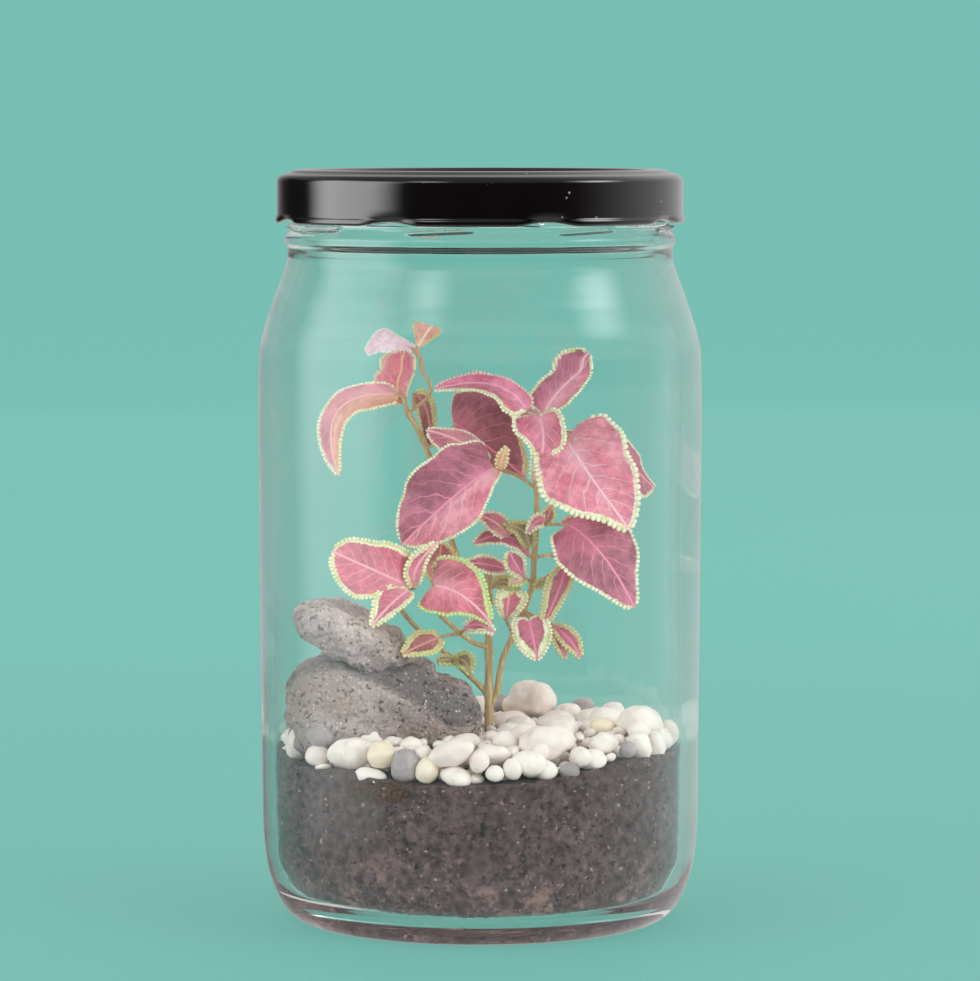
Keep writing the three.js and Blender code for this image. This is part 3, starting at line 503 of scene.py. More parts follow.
def lid_enamel_material():
    """Glossy black-brown enamel with a few specks of dust, smears and fine scratches round it."""
    values = {"Coat_Weight": 1.0, "Coat_Roughness": 0.04, "Metallic": 0.0, "IOR": 1.5}
    material, tree, shader = new_material("black_enamel", **values)
    place = own_place(tree)
    wear = use_group(tree, WEAR, Place=place, Dust_Scale=420.0)
    tone = mixed(tree, cloud(tree, place, 30.0), tint(7, 5, 6), tint(20, 13, 14))
    tone = laid_over(tree, tone, wear["Dust"], tint(150, 142, 140))
    roughness = scaled(tree, wear["Smear"], 0.12, 0.16)
    scratches = cloud(tree, stretched(tree, place, 14.0), 260.0, 3.0)
    feed(tree, shader, Base_Color=tone, Roughness=roughness, Normal=bump(tree, scratches, 0.02, 0.3))
    return material


def seal_material():
    material, tree, shader = new_material("grey_white_sealant", Roughness=0.5)
    place = own_place(tree)
    tone = mixed(tree, cloud(tree, place, 90.0), tint(205, 200, 188), tint(226, 222, 212))
    feed(tree, shader, Base_Color=tone, Normal=bump(tree, cloud(tree, place, 400.0), 0.2, 0.2))
    return material


def in_peat(tree, place):
    """1 inside the dark patch of the soil, with a ragged edge."""
    from_patch = {
        "Vector": place,
        "Location": tuple(c * MM for c in PEAT),
        "Scale": tuple(c * MM for c in PEAT_REACH),
    }
    off_middle = node(tree, "ShaderNodeMapping", {"vector_type": "TEXTURE"}, from_patch).outputs[0]
    ragged = scaled(tree, cloud(tree, place, 400.0, 3.0), 1.2, length_of(tree, off_middle))
    return between(tree, ragged, 1.7, 1.2)


def peat_tone(tree, place):
    fibres = between(tree, cloud(tree, place, 1500.0, 3.0, 0.8), 0.42, 0.6)
    return mixed(tree, fibres, tint(46, 28, 24), tint(112, 70, 52))


def soil_material(name, dark, light, pale_share):
    """Damp potting earth: dark and light crumbs, pale grains, brown lumps near the base, one dark patch."""
    material, tree, shader = new_material(name, Roughness=0.92)
    place = own_place(tree)
    grain = use_group(tree, GRAIN, Place=place, Grain=620.0, Mottle_Scale=430.0)
    tone = mixed(tree, between(tree, grain["Mottle"], 0.3, 0.7), dark, light)
    height = height_of(tree, place)
    near_base = between(tree, height, 26 * MM, 9 * MM)
    lumps = between(tree, cloud(tree, place, 120.0, 4.0, 0.7), 0.52, 0.66)
    lumps = times(tree, lumps, scaled(tree, near_base, 0.75, 0.12))
    tone = laid_over(tree, tone, lumps, tint(172, 140, 132))
    broad = between(tree, cloud(tree, place, 45.0, 3.0), 0.35, 0.65)
    tone = laid_over(tree, tone, broad, dark, 0.35)
    # painted shade: dark tone in the sunken specks
    tone = laid_over(tree, tone, grain["Shaded Pit"], tint(44, 34, 36))
    tone = laid_over(tree, tone, in_peat(tree, place), peat_tone(tree, place), 0.85)
    crumbs = between(tree, cells(tree, place, 420.0), 0.28, 0.1)
    sparse = between(tree, cloud(tree, place, 800.0), 0.52, 0.6)
    tone = laid_over(tree, tone, times(tree, crumbs, sparse), tint(176, 158, 158), pale_share)
    feed(tree, shader, Base_Color=tone, Normal=bump(tree, grain["Relief"], 0.6, 0.8))
    return material


def stone_material(name, light, shade, vein):
    """A smooth tumbled pebble with faint veins; each stone's own tone comes from the piece."""
    material, tree, shader = new_material(name, Roughness=0.5, Subsurface_Weight=0.08)
    shader.inputs["Subsurface Radius"].default_value = (2 * MM, 1.6 * MM, 1.3 * MM)
    shader.inputs["Subsurface Scale"].default_value = 1.0
    place = own_place(tree)
    grain = use_group(tree, GRAIN, Place=place, Grain=700.0, Mottle_Scale=230.0)
    tone = mixed(tree, own_value(tree, "tone"), light, shade)
    tone = laid_over(tree, tone, between(tree, grain["Mottle"], 0.45, 0.8), vein)
    # painted shade: the veins' darker tone in the sunken specks
    tone = laid_over(tree, tone, grain["Shaded Pit"], vein, 0.3)
    roughness = scaled(tree, grain["Mottle"], 0.25, 0.38)
    relief = bump(tree, grain["Relief"], 0.25, 0.25)
    feed(tree, shader, Base_Color=tone, Roughness=roughness, Normal=relief)
    return material


def rock_material(name, pale, grey, brown_share):
    """Grey stone with a mauve cast, speckles, crystals and rusty patches; painted shade from the piece's own
    shade values and in sunken specks, and a painted highlight on glinting grains.
    """
    material, tree, shader = new_material(name, Roughness=0.8)
    place = own_place(tree)
    grain = use_group(tree, GRAIN, Place=place, Grain=850.0, Mottle_Scale=95.0)
    rust = between(tree, cloud(tree, place, 42.0, 5.0, 0.65), 0.42, 0.62)
    speckles = between(tree, cloud(tree, place, 1100.0, 4.0, 0.8), 0.5, 0.62)
    crystals = between(tree, cells(tree, place, 620.0), 0.3, 0.12)
    tone = mixed(tree, between(tree, grain["Mottle"], 0.3, 0.72), grey, pale)
    for mask, colour, share in (
        (rust, tint(172, 148, 138), brown_share),
        # painted shade where the piece's shade value says: the recess under the upper rock and the upper
        # rock's lower right side
        (own_value(tree, "shade"), tint(112, 100, 106), 1.0),
        (speckles, tint(126, 112, 112), 0.45),
        (crystals, tint(236, 222, 218), 0.4),
        # painted shade: dark tone in the sunken specks
        (grain["Shaded Pit"], tint(72, 64, 66), 0.7),
        # painted highlight: pale tone on glinting grains
        (grain["Glint"], tint(232, 226, 222), 1.0),
    ):
        tone = laid_over(tree, tone, mask, colour, share)
    roughness = scaled(tree, grain["Glint"], -0.45, 0.82)
    feed(tree, shader, Base_Color=tone, Roughness=roughness, Normal=bump(tree, grain["Relief"], 1.0, 0.8))
    return material


def stem_material():
    """Tan skin with a red flush, fine pale ridges along it and small brown pores."""
    material, tree, shader = new_material("coleus_stem", Roughness=0.5, Subsurface_Weight=0.05)
    shader.inputs["Subsurface Scale"].default_value = 0.4 * MM
    place = own_place(tree)
    ridges = cloud(tree, stretched(tree, place, 0.12), 1500.0, 2.0)
    pores = between(tree, cells(tree, place, 900.0), 0.2, 0.12)
    tone = mixed(tree, cloud(tree, place, 160.0, 4.0), tint(212, 192, 134), tint(172, 146, 102))
    tone = laid_over(tree, tone, own_value(tree, "flush"), tint(204, 142, 126))
    tone = laid_over(tree, tone, between(tree, ridges, 0.4, 0.75), tint(226, 208, 162))
    tone = laid_over(tree, tone, pores, tint(146, 112, 84), 0.5)
    feed(tree, shader, Base_Color=tone, Normal=bump(tree, ridges, 0.4, 0.15))
    return material


def leaf_veins(tree, place, across, along, off_midrib):
    """Masks of the midrib with its side veins, and of those with their twigs and a fine net."""
    slant = times(tree, maths(tree, "POWER", across, VEIN_BEND), VEIN_SLANT)
    slant = times(tree, slant, scaled(tree, along, -VEIN_DROOP, 1.0))
    wander = scaled(tree, cloud(tree, place, 260.0, 2.0), 0.8, -0.4)
    count = scaled(tree, maths(tree, "SUBTRACT", along, slant), VEIN_PAIRS, wander)
    off_vein = maths(tree, "ABSOLUTE", maths(tree, "SUBTRACT", maths(tree, "FRACT", count), 0.5))
    width = scaled(tree, across, 0.05, 0.4)
    side_vein = between(tree, off_vein, width, 0.49)
    side_vein = times(tree, side_vein, scaled(tree, across, -0.6, 0.85))
    fork = scaled(tree, across, 2.4, times(tree, count, 1.7))
    off_twig = maths(tree, "ABSOLUTE", maths(tree, "SUBTRACT", maths(tree, "FRACT", fork), 0.5))
    twig = times(tree, between(tree, off_twig, 0.42, 0.49), 0.22)
    mesh = cells(tree, place, 1000.0, "DISTANCE_TO_EDGE")
    net = times(tree, between(tree, mesh, 0.1, 0.0), 0.16)
    main_veins = maths(tree, "MAXIMUM", between(tree, off_midrib, 0.42, 0.16), side_vein)
    return main_veins, maths(tree, "MAXIMUM", main_veins, maths(tree, "MAXIMUM", net, twig))


def blade_tone(tree, place, along, off_midrib, mottle, veins):
    """Two tints in patches, darker mottling, and the veins' tint on them and round the leaf's base."""
    patches = between(tree, cloud(tree, place, 120.0, 3.0), 0.42, 0.6)
    blade = mixed(tree, patches, own_colour(tree, "blade_tint"), own_colour(tree, "second_tint"))
    dark = mixed(tree, 1.0, blade, tint(228, 214, 222), "MULTIPLY")
    blade = laid_over(tree, blade, between(tree, mottle, 0.62, 0.4), dark)
    near_base = times(tree, between(tree, off_midrib, 4.5, 0.2), between(tree, along, 0.8, 0.0))
    vein_tint = own_colour(tree, "vein_tint")
    blade = laid_over(tree, blade, near_base, vein_tint, 0.45)
    return laid_over(tree, blade, veins, vein_tint)


def margin_tone(tree, place, edge, margin, inside_by):
    """The pale margin: greenish clouds, browner at the very edge between the teeth, freckled inwards."""
    green = between(tree, cloud(tree, place, 300.0, 3.0), 0.5, 0.68)
    off_teeth = between(tree, margin, 0.9 * ALL_MARGIN, 0.6 * ALL_MARGIN)
    at_edge = times(tree, between(tree, edge, 0.9, 0.1), off_teeth)
    near_blade = between(tree, inside_by, -0.7, 0.0)
    freckles = times(tree, between(tree, cells(tree, place, 1500.0), 0.34, 0.2), near_blade)
    rim = laid_over(tree, own_colour(tree, "margin_tint"), green, tint(214, 228, 150), 0.6)
    rim = laid_over(tree, rim, at_edge, tint(196, 160, 112), 0.5)
    return laid_over(tree, rim, freckles, tint(150, 92, 104), 0.55)


def leaf_material():
    """Coleus blade: two tints of rose with bright veins and a fine net, inside a pale ragged margin."""
    material, tree, shader = new_material("coleus_leaf", Subsurface_Weight=0.12, Sheen_Weight=0.08)
    shader.inputs["Subsurface Radius"].default_value = (1.0, 0.45, 0.3)
    shader.inputs["Subsurface Scale"].default_value = 0.6 * MM
    place = own_place(tree)
    along = own_value(tree, "along")
    off_midrib = own_value(tree, "off_midrib")
    edge = own_value(tree, "edge")
    margin = own_value(tree, "margin")
    mottle = cloud(tree, place, 420.0, 5.0, 0.65)
    main_veins, veins = leaf_veins(tree, place, own_value(tree, "across"), along, off_midrib)
    ragged = scaled(tree, cloud(tree, place, 1500.0, 3.0, 0.7), 1.5, -0.75)
    border = scaled(tree, main_veins, 0.35, maths(tree, "ADD", edge, ragged))
    inside_by = maths(tree, "SUBTRACT", border, margin)
    blade = blade_tone(tree, place, along, off_midrib, mottle, veins)
    rim = margin_tone(tree, place, edge, margin, inside_by)
    tone = laid_over(tree, blade, between(tree, inside_by, 0.15, -0.12), rim)
    tone = laid_over(tree, tone, own_value(tree, "under"), tint(226, 190, 176), 0.35)
    roughness = scaled(tree, mottle, 0.2, 0.42)
    relief = maths(tree, "SUBTRACT", times(tree, mottle, 0.5), veins)
    feed(tree, shader, Base_Color=tone, Roughness=roughness, Normal=bump(tree, relief, 0.35, 0.3))
    return material


def backdrop_material():
    """Even mint paper that glows by itself, less so near the jar, where lit paper takes the jar's shadow."""
    values = {"Roughness": 0.6, "Emission_Color": tint(122, 194, 182), "Specular_IOR_Level": 0.05}
    material, tree, shader = new_material("pale_mint_backdrop", **values)
    place = own_place(tree)
    near = between(tree, length_of(tree, place), 700 * MM, 60 * MM)
    plain = mixed(tree, cloud(tree, place, 3.0), tint(18, 28, 26), tint(20, 31, 29))
    tone = mixed(tree, near, plain, tint(70, 110, 103))
    strength = scaled(tree, near, -0.36, 0.94)
    feed(tree, shader, Base_Color=tone, Emission_Strength=strength)
    return material


# Camera and stage
def add_camera():
    camera = bpy.data.cameras.new("camera")
    camera.lens = CAMERA_LENS
    camera.sensor_width = 36
    camera.sensor_fit = "HORIZONTAL"
    seat = bpy.data.objects.new("camera", camera)
    seat.location = Vector(CAMERA_PLACE) * MM
    seat.rotation_euler = (math.radians(90 - CAMERA_PITCH), 0, 0)
    bpy.context.scene.collection.objects.link(seat)
    bpy.context.scene.camera = seat


def add_stage():
    """A round floor that sweeps up into a wall on all sides, so that it is plain from any angle."""
    floor = [(0, -0.2), (1700, -0.2, 500), (2300, 0, 700), (2400, 2600, 0)]
    line = rounded(floor, lambda place: 400, corner_steps=12)
    rings = lathe_rings(line[1:], STAGE_ROUND)
    points = np.vstack([rings.reshape(-1, 3), [0, 0, floor[0][1]]])
    faces = ring_faces(len(rings), STAGE_ROUND)
    centre = len(points) - 1
    faces.extend(((j + 1) % STAGE_ROUND, j, centre) for j in range(STAGE_ROUND))
    backdrop = new_piece("backdrop", points, faces, backdrop_material())
    backdrop.visible_diffuse = False
    backdrop.visible_glossy = False


def soften_edges(lamp, soft):
    """The soft box fades out towards its edges, as a diffuser lit from behind does."""
    lamp.use_nodes = True
    tree = lamp.node_tree
    flat = node(tree, "ShaderNodeNewGeometry").outputs["Parametric"]
    face = node(tree, "ShaderNodeSeparateXYZ", None, {0: flat}).outputs
    shares = []
    for axis in ("X", "Y"):
        off_middle = maths(tree, "ABSOLUTE", maths(tree, "SUBTRACT", face[axis], 0.5))
        shares.append(between(tree, off_middle, 0.5, 0.5 - soft))
    tree.links.new(times(tree, *shares), tree.nodes["Emission"].inputs["Strength"])


def add_light(name, place, size, radiance, soft=0.25, matt=True, gloss=True):
    """A soft box turned to the jar, for matt surfaces, for gloss or for both, by how bright its face is."""
    lamp = bpy.data.lights.new(name, "AREA")
    lamp.shape = "RECTANGLE"
    lamp.size = size[0] * MM
    lamp.size_y = size[1] * MM
    lamp.energy = radiance * math.pi * lamp.size * lamp.size_y
    soften_edges(lamp, soft)
    seat = bpy.data.objects.new(name, lamp)
    seat.location = Vector(place) * MM
    seat.rotation_euler = (Vector(LIGHT_AIM) - Vector(place)).to_track_quat("-Z", "Y").to_euler()
    seat.visible_camera = False
    seat.visible_diffuse = matt
    seat.visible_glossy = gloss
    seat.visible_transmission = False
    bpy.context.scene.collection.objects.link(seat)


def add_world():
    """Even light on matt surfaces; gloss shows a dark room, brighter behind at the right and below."""
    world = bpy.data.worlds.new("soft_studio")
    world.use_nodes = True
    tree = world.node_tree
    sky = tree.nodes["Background"]
    sky.inputs["Color"].default_value = (1.0, 1.0, 1.0, 1.0)
    towards = node(tree, "ShaderNodeTexCoord").outputs["Generated"]
    bright_side = {0: towards, 1: (0.7, 0.714, 0.0)}
    facing = node(tree, "ShaderNodeVectorMath", {"operation": "DOT_PRODUCT"}, bright_side).outputs["Value"]
    in_gloss = scaled(tree, between(tree, facing, 0.1, 1.0), 0.58, 0.02)
    rise = height_of(tree, towards)
    in_gloss = scaled(tree, between(tree, rise, -0.12, -0.5), 0.4, in_gloss)
    in_gloss = scaled(tree, between(tree, rise, 0.25, 0.6), 0.2, in_gloss)
    glossy = node(tree, "ShaderNodeLightPath").outputs["Is Glossy Ray"]
    strength = node(tree, "ShaderNodeMix", None, {0: glossy, 2: AMBIENT, 3: in_gloss}).outputs[0]
    tree.links.new(strength, sky.inputs["Strength"])
    bpy.context.scene.world = world


def add_lights():
    add_light("key_box", (-1130, -250, 380), (1750, 1500), 3.3, soft=0.35, matt=False)
    add_light("left_glow", (-540, -850, 900), (650, 480), 4.0, soft=0.5, matt=False)
    add_light("right_glow", (1050, -290, 830), (900, 700), 6.0, soft=0.5, matt=False)
    add_light("key_wash", (-900, -600, 700), (1300, 1300), 1.5, gloss=False)
    add_light("front_wash", (1150, -650, 500), (1200, 1100), 4.0, gloss=False)
    add_light("back_left_strip", (-300, 1130, 300), (350, 1200), 2.0, gloss=False)
    add_light("back_right_strip", (300, 1130, 300), (350, 1200), 2.0, gloss=False)
    add_light("top_box", (0, 150, 1500), (1400, 1000), 2.6, gloss=False)
    add_world()
    bpy.context.scene.view_settings.view_transform = "Standard"


# Jar
JAR_PROFILE = [
    (0, 1.6),
    (42, 1.1, 0.5),
    (43.2, 0, 0.3),
    (46.5, 0, 1.2),
    (49.8, 2.6, 3),
    (52.2, 7, 4),
    (54.2, 12.8, 8),
    (55.3, 22, 12),
    (WALL_R, 125, 30),
    (55.9, 143.6, 14),
    (54.8, 148.8, 10),
    (52.4, 156, 12),
    (50, 162.2, 12),
    (48.5, 166.8, 7),
    (48.5, 169.9, 1.2),
    (49.1, 170.8, 1),
    (49.1, 172.8, 0.8),
    (FINISH_R, 174.6, 1),
    (FINISH_R, RIM_Z - 1, 0.5),
    (46.5, RIM_Z, 0.4),
    (45.1, RIM_Z, 0.4),
    (44.3, RIM_Z - 0.9, 0.5),
    (44.3, 170.4, 8),
    (45.2, 164.6, 12),
    (48.2, 156.2, 14),
    (50.9, 148.4, 12),
    (INSIDE_R, 140, 14),
    (51.6, 24, 14),
    (51, 14.5, 5),
    (48.9, 8.6, 4),
    (45, 5.3, 4),
    (40, FLOOR_Z + 0.3, 4),
    (0, FLOOR_Z),
]
# Heights where the threads need close rows, where the inside is slightly wavy and where the seams show
FINISH_ZONE = (172.5, 183.5)
WAVY_ZONE = (10, 165)
SEAM_ZONE = (4, 160)
WAVE_IN_GLASS = 0.14
# Raised stretches of the finish, one of each for every lug: first and last angle from the lug, height of
# the low end, rise, width and how far out
RIDGES = [
    (-3, 31, 178.1, 2.2, 1.9, 2.0),
    (5, 23, 173.8, 0.7, 1.1, 1.8),
]
SEAM_AT = 78  # degrees from the front, and again opposite
SEAM_HALF = 0.5
SEAM_OUT = 0.06


def lug_windows(degrees, start, end, soft):
    """How far each angle is inside its lug's stretch from start to end, and how far along it."""
    inside = np.zeros_like(degrees)
    share = np.zeros_like(degrees)
    for lug in range(LUGS):
        centre = FIRST_LUG + lug * 360 / LUGS + (start + end) / 2
        off = (degrees - centre + 180) % 360 - 180
        half = (end - start) / 2
        here = soft_step(half + soft, half - soft, np.abs(off))
        share = np.where(here > inside, np.clip(off / (2 * half) + 0.5, 0, 1), share)
        inside = np.maximum(inside, here)
    return inside, share


def jar_shape(radius, height, degrees):
    """Threads and small ramps on the finish, faint mould seams and the glass's slight waviness."""
    outer = (radius > FINISH_R - 0.3) & within(height, FINISH_ZONE)
    for start, end, low, rise, width, out in RIDGES:
        inside, share = lug_windows(degrees, start, end, 1.5)
        middle = low + rise * share + width / 2
        ridge = soft_step(width * 0.75, width * 0.2, np.abs(height - middle))
        bumped = FINISH_R + out * inside * ridge
        radius = np.where(outer, np.maximum(radius, bumped), radius)
    turn = np.radians(degrees)
    inner = (radius < INSIDE_R + 0.1) & within(height, WAVY_ZONE) & ~outer
    slow = np.sin(3 * turn + height / 23) * np.sin(5 * turn - height / 31 + 1)
    radius = radius + np.where(inner, WAVE_IN_GLASS * slow, 0)
    off_seam = (degrees - SEAM_AT + 90) % 180 - 90
    seam = np.exp(-((off_seam / SEAM_HALF) ** 2))
    on_wall = (radius > INSIDE_R + 0.8) & within(height, SEAM_ZONE)
    return radius - np.where(on_wall, SEAM_OUT * (1 - seam), 0), height


def add_jar():
    def spacing(place):
        in_finish = within(place[1], FINISH_ZONE) and place[0] > FINISH_R - 0.3
        return 0.36 if in_finish else 4.0

    jar = lathe("jar", JAR_PROFILE, jar_glass_material(), spacing, jar_shape)
    dress(jar, "jar", "jar_glass")


# Lid
LID_PROFILE = [
    (0, LID_TOP - 0.7),
    (15, LID_TOP - 0.7, 1),
    (17, LID_TOP - 1.2, 1),
    (41.2, LID_TOP - 1.2, 0.8),
    (42.6, LID_TOP, 0.6),
    (46.8, LID_TOP, 0.9),
    (48.4, LID_TOP - 0.9, 1.2),
    (50.2, LID_TOP - 1.3, 1),
    (51.2, LID_TOP - 2.4, 1.2),
    (51.2, LID_BOTTOM + 2, 1),
    (51.6, LID_BOTTOM + 1.3, 0.4),
    (51.6, LID_BOTTOM + 0.4, 0.5),
    (51.1, LID_BOTTOM, 0.4),
    (50.5, LID_BOTTOM + 0.2, 0.3),
    (50.4, LID_TOP - 2.9, 0.8),
    (49.7, LID_TOP - 2.1, 0.5),
    (48.3, LID_TOP - 1.8, 0.5),
    (47.4, LID_TOP - 0.8, 0.5),
    (43.3, LID_TOP - 0.8, 0.5),
    (42, LID_TOP - 2, 0.5),
    (0, LID_TOP - 2),
]


def lid_shape(radius, height, degrees):
    """The skirt's curled edge is pressed in and up at each lug."""
    inside, _ = lug_windows(degrees, -LUG_HALF, LUG_HALF, 4.5)
    low = soft_step(LID_BOTTOM + 2.6, LID_BOTTOM + 0.9, height)
    pressed_in = np.where(radius > 50.9, LUG_DENT, LUG_IN) * inside * low
    return radius - pressed_in, height + LUG_UP * inside * soft_step(LID_BOTTOM + 2, LID_BOTTOM, height)


def add_lid():
    def spacing(place):
        return 0.4 if place[1] < LID_BOTTOM + 3.2 and place[0] > 50 else 2.5

    lid = lathe("lid", LID_PROFILE, lid_enamel_material(), spacing, lid_shape)
    dress(lid, "lid", "lid_shell")


def add_seal():
    """The soft ring in the lid's raised ring, just above the jar's rim."""
    low = RIM_Z + GAP
    top = LID_TOP - 0.9 - GAP
    section = [(45.4, low), (46.7, low), (47, low + 0.2), (47, top), (43.8, top), (43.8, low + 0.2)]
    section.append((44.1, low))
    rings = lathe_rings(np.array(section, float), ROUND)
    faces = ring_faces(len(rings), ROUND)
    last = (len(rings) - 1) * ROUND
    faces.extend((last + j, last + (j + 1) % ROUND, (j + 1) % ROUND, j) for j in range(ROUND))
    ring = new_piece("sealing_ring", rings.reshape(-1, 3), faces, seal_material())
    dress(ring, "lid", "lid_liner")


# Ground
def soil_top(x, y):
    """Height of the soil: lower at the front glass and in a hollow at its left, where pebbles lie deepest."""
    frontness = np.clip(-y / 50, 0, 1) ** 2
    dip = np.where(x < 0, -4.6 + 7 * (x / 48) ** 4, -4.5 + 8.5 * (x / 48) ** 2)
    hollow = 2.2 * np.exp(-((x + 42) ** 2 + (y + 27) ** 2) / 90)
    return SOIL_TOP + frontness * dip - hollow + 0.6 * np.sin(x / 7 + 1) * np.cos(y / 9)


def gravel_top(x, y):
    """Height of the fine gravel: higher in a mound at the right, lower along the glass."""
    right_mound = 2.5 * np.exp(-((x - 36) ** 2 + (y + 12) ** 2) / 300)
    edge_fall = 3.5 * np.clip((np.hypot(x, y) - 44) / 6, 0, 1)
    level = GRAVEL_TOP + right_mound - edge_fall + 0.4 * np.sin(x / 5) * np.cos(y / 6)
    return np.maximum(level, soil_top(x, y) + 1.4)


SOIL_ROUND = 384
SOIL_ROWS = 92
CRUMB_SIZE = 3.2
FINE_SIZE = 1.4
SOIL_FLOOR = FLOOR_Z + GAP
SOIL_SIDE = [
    (40, SOIL_FLOOR + 0.3),
    (45, 5.3 + GAP, 4),
    (48.9, 8.6 + GAP, 4),
    (51, 14.5, 5),
    (51.6, 24, 14),
    (51.66, 60),
]


def glass_radius(height):
    """Inner radius of the glass at a height below the shoulder."""
    line = rounded(SOIL_SIDE, lambda place: 2.0)
    return np.interp(height, line[:, 1], line[:, 0])


def add_soil():
    """One body of earth that fills the foot of the jar, rough where crumbs leave gaps at the glass."""
    turn = np.arange(SOIL_ROUND) * 2 * math.pi / SOIL_ROUND
    edge_top = soil_top(51 * np.sin(turn), -51 * np.cos(turn))
    low = SOIL_FLOOR + 0.5
    rows = []
    for radius in np.linspace(4, 38, 8):
        rows.append((np.full(SOIL_ROUND, radius), np.full(SOIL_ROUND, SOIL_FLOOR)))
    for share in np.linspace(0, 1, SOIL_ROWS):
        height = low + (edge_top - low) * share
        rows.append((glass_radius(height) - GAP, height))
    for radius in np.linspace(49.5, 1.5, 26):
        x = radius * np.sin(turn)
        y = -radius * np.cos(turn)
        rows.append((np.full(SOIL_ROUND, radius), soil_top(x, y)))
    radius = np.array([r for r, _ in rows])
    height = np.array([z for _, z in rows])
    points = np.stack([radius * np.sin(turn), -radius * np.cos(turn), height], axis=-1)
    crumbs = roughness_at(points, CRUMB_SIZE, 3)
    fine = roughness_at(points, FINE_SIZE, 4, 2)
    sunk = np.clip(0.45 + 0.75 * crumbs + 0.35 * fine, 0, 1.3)
    on_side = (height > low - 0.3) & (radius > 40)
    scale = 1 - np.where(on_side, sunk, 0) / np.maximum(radius, 1)
    points[..., 0] *= scale
    points[..., 1] *= scale
    on_top = (height > 30) & (radius < 49.6)
    points[..., 2] += np.where(on_top, 0.5 * crumbs + 0.3 * fine, 0)
    shape = ring_shape(points, [0, 0, SOIL_FLOOR], [0, 0, float(soil_top(0, 0))])
    earth = soil_material("damp_earth", tint(66, 46, 47), tint(120, 96, 100), 0.8)
    soil = new_piece("soil_body", *shape, earth)
    dress(soil, "jar", "soil")


def stones_tree():
    """Geometry nodes that set a lumpy stone at each given point, by its own size and turn."""
    tree = bpy.data.node_groups.new("stones_at_points", "GeometryNodeTree")
    sockets = {}
    for label, kind in (
        ("Geometry", "Geometry"),
        ("Detail", "Int"),
        ("Lumps", "Float"),
        ("Lump Scale", "Float"),
        ("Finish", "Material"),
    ):
        made = tree.interface.new_socket(label, in_out="INPUT", socket_type="NodeSocket" + kind)
        sockets[label] = made.identifier
    tree.interface.new_socket("Geometry", in_out="OUTPUT", socket_type="NodeSocketGeometry")
    given = tree.nodes.new("NodeGroupInput").outputs
    result = tree.nodes.new("NodeGroupOutput")
    stone = node(tree, "GeometryNodeMeshIcoSphere", None, {"Radius": 0.5, "Subdivisions": given["Detail"]})

    def own_vector(name):
        settings = {"data_type": "FLOAT_VECTOR"}
        return node(tree, "GeometryNodeInputNamedAttribute", settings, {"Name": name}).outputs["Attribute"]

    size = own_vector("size")
    placing = {
        "Points": given["Geometry"],
        "Instance": stone.outputs["Mesh"],
        "Rotation": node(tree, "FunctionNodeEulerToRotation", None, {0: own_vector("turn")}).outputs[0],
        "Scale": size,
    }
    placed = node(tree, "GeometryNodeInstanceOnPoints", None, placing)
    real = node(tree, "GeometryNodeRealizeInstances", None, {"Geometry": placed.outputs["Instances"]})
    place = node(tree, "GeometryNodeInputPosition").outputs[0]
    lumps = cloud(tree, place, given["Lump Scale"], 1.0, 0.5)
    swell = times(tree, maths(tree, "SUBTRACT", lumps, 0.5), given["Lumps"])
    reach = times(tree, swell, length_of(tree, size))
    pushing = {0: node(tree, "GeometryNodeInputNormal").outputs[0], "Scale": reach}
    push = node(tree, "ShaderNodeVectorMath", {"operation": "SCALE"}, pushing).outputs[0]
    moved = node(tree, "GeometryNodeSetPosition", None, {"Geometry": real.outputs[0], "Offset": push})
    shaded = node(tree, "GeometryNodeSetShadeSmooth", None, {"Geometry": moved.outputs[0]})
    finish = {"Geometry": shaded.outputs[0], "Material": given["Finish"]}
    finished = node(tree, "GeometryNodeSetMaterial", None, finish)
    tree.links.new(finished.outputs[0], result.inputs[0])
    return tree, sockets


STONES_TREE, STONES_SOCKETS = stones_tree()


def stones(name, rows, material, detail, lumps, lump_size):
    """Stones from rows of place, size, turn in degrees and tone, as one plain mesh object."""
    mesh = bpy.data.meshes.new(name)
    mesh.from_pydata([tuple(c * MM for c in row[0]) for row in rows], [], [])
    for label, column, unit_size in (("size", 1, MM), ("turn", 2, math.pi / 180)):
        layer = mesh.attributes.new(label, "FLOAT_VECTOR", "POINT")
        layer.data.foreach_set("vector", [c * unit_size for row in rows for c in row[column]])
    layer = mesh.attributes.new("tone", "FLOAT", "POINT")
    layer.data.foreach_set("value", [row[3] for row in rows])
    piece = bpy.data.objects.new(name, mesh)
    bpy.context.scene.collection.objects.link(piece)
    modifier = piece.modifiers.new("stones", "NODES")
    modifier.node_group = STONES_TREE
    values = {"Detail": detail, "Lumps": lumps, "Lump Scale": 1 / (lump_size * MM), "Finish": material}
    for label, value in values.items():
        modifier[STONES_SOCKETS[label]] = value
    graph = bpy.context.evaluated_depsgraph_get()
    real = bpy.data.meshes.new_from_object(piece.evaluated_get(graph), depsgraph=graph)
    piece.modifiers.clear()
    piece.data = real
    real.name = name
    bpy.data.meshes.remove(mesh)
    for label in ("size", "turn"):
        if label in real.attributes:
            real.attributes.remove(real.attributes[label])
    return piece


def joined_piece(name, pieces):
    """Several pieces of the same materials as one object."""
    with bpy.context.temp_override(active_object=pieces[0], selected_editable_objects=pieces):
        bpy.ops.object.join()
    pieces[0].name = name
    pieces[0].data.name = name
    return pieces[0]


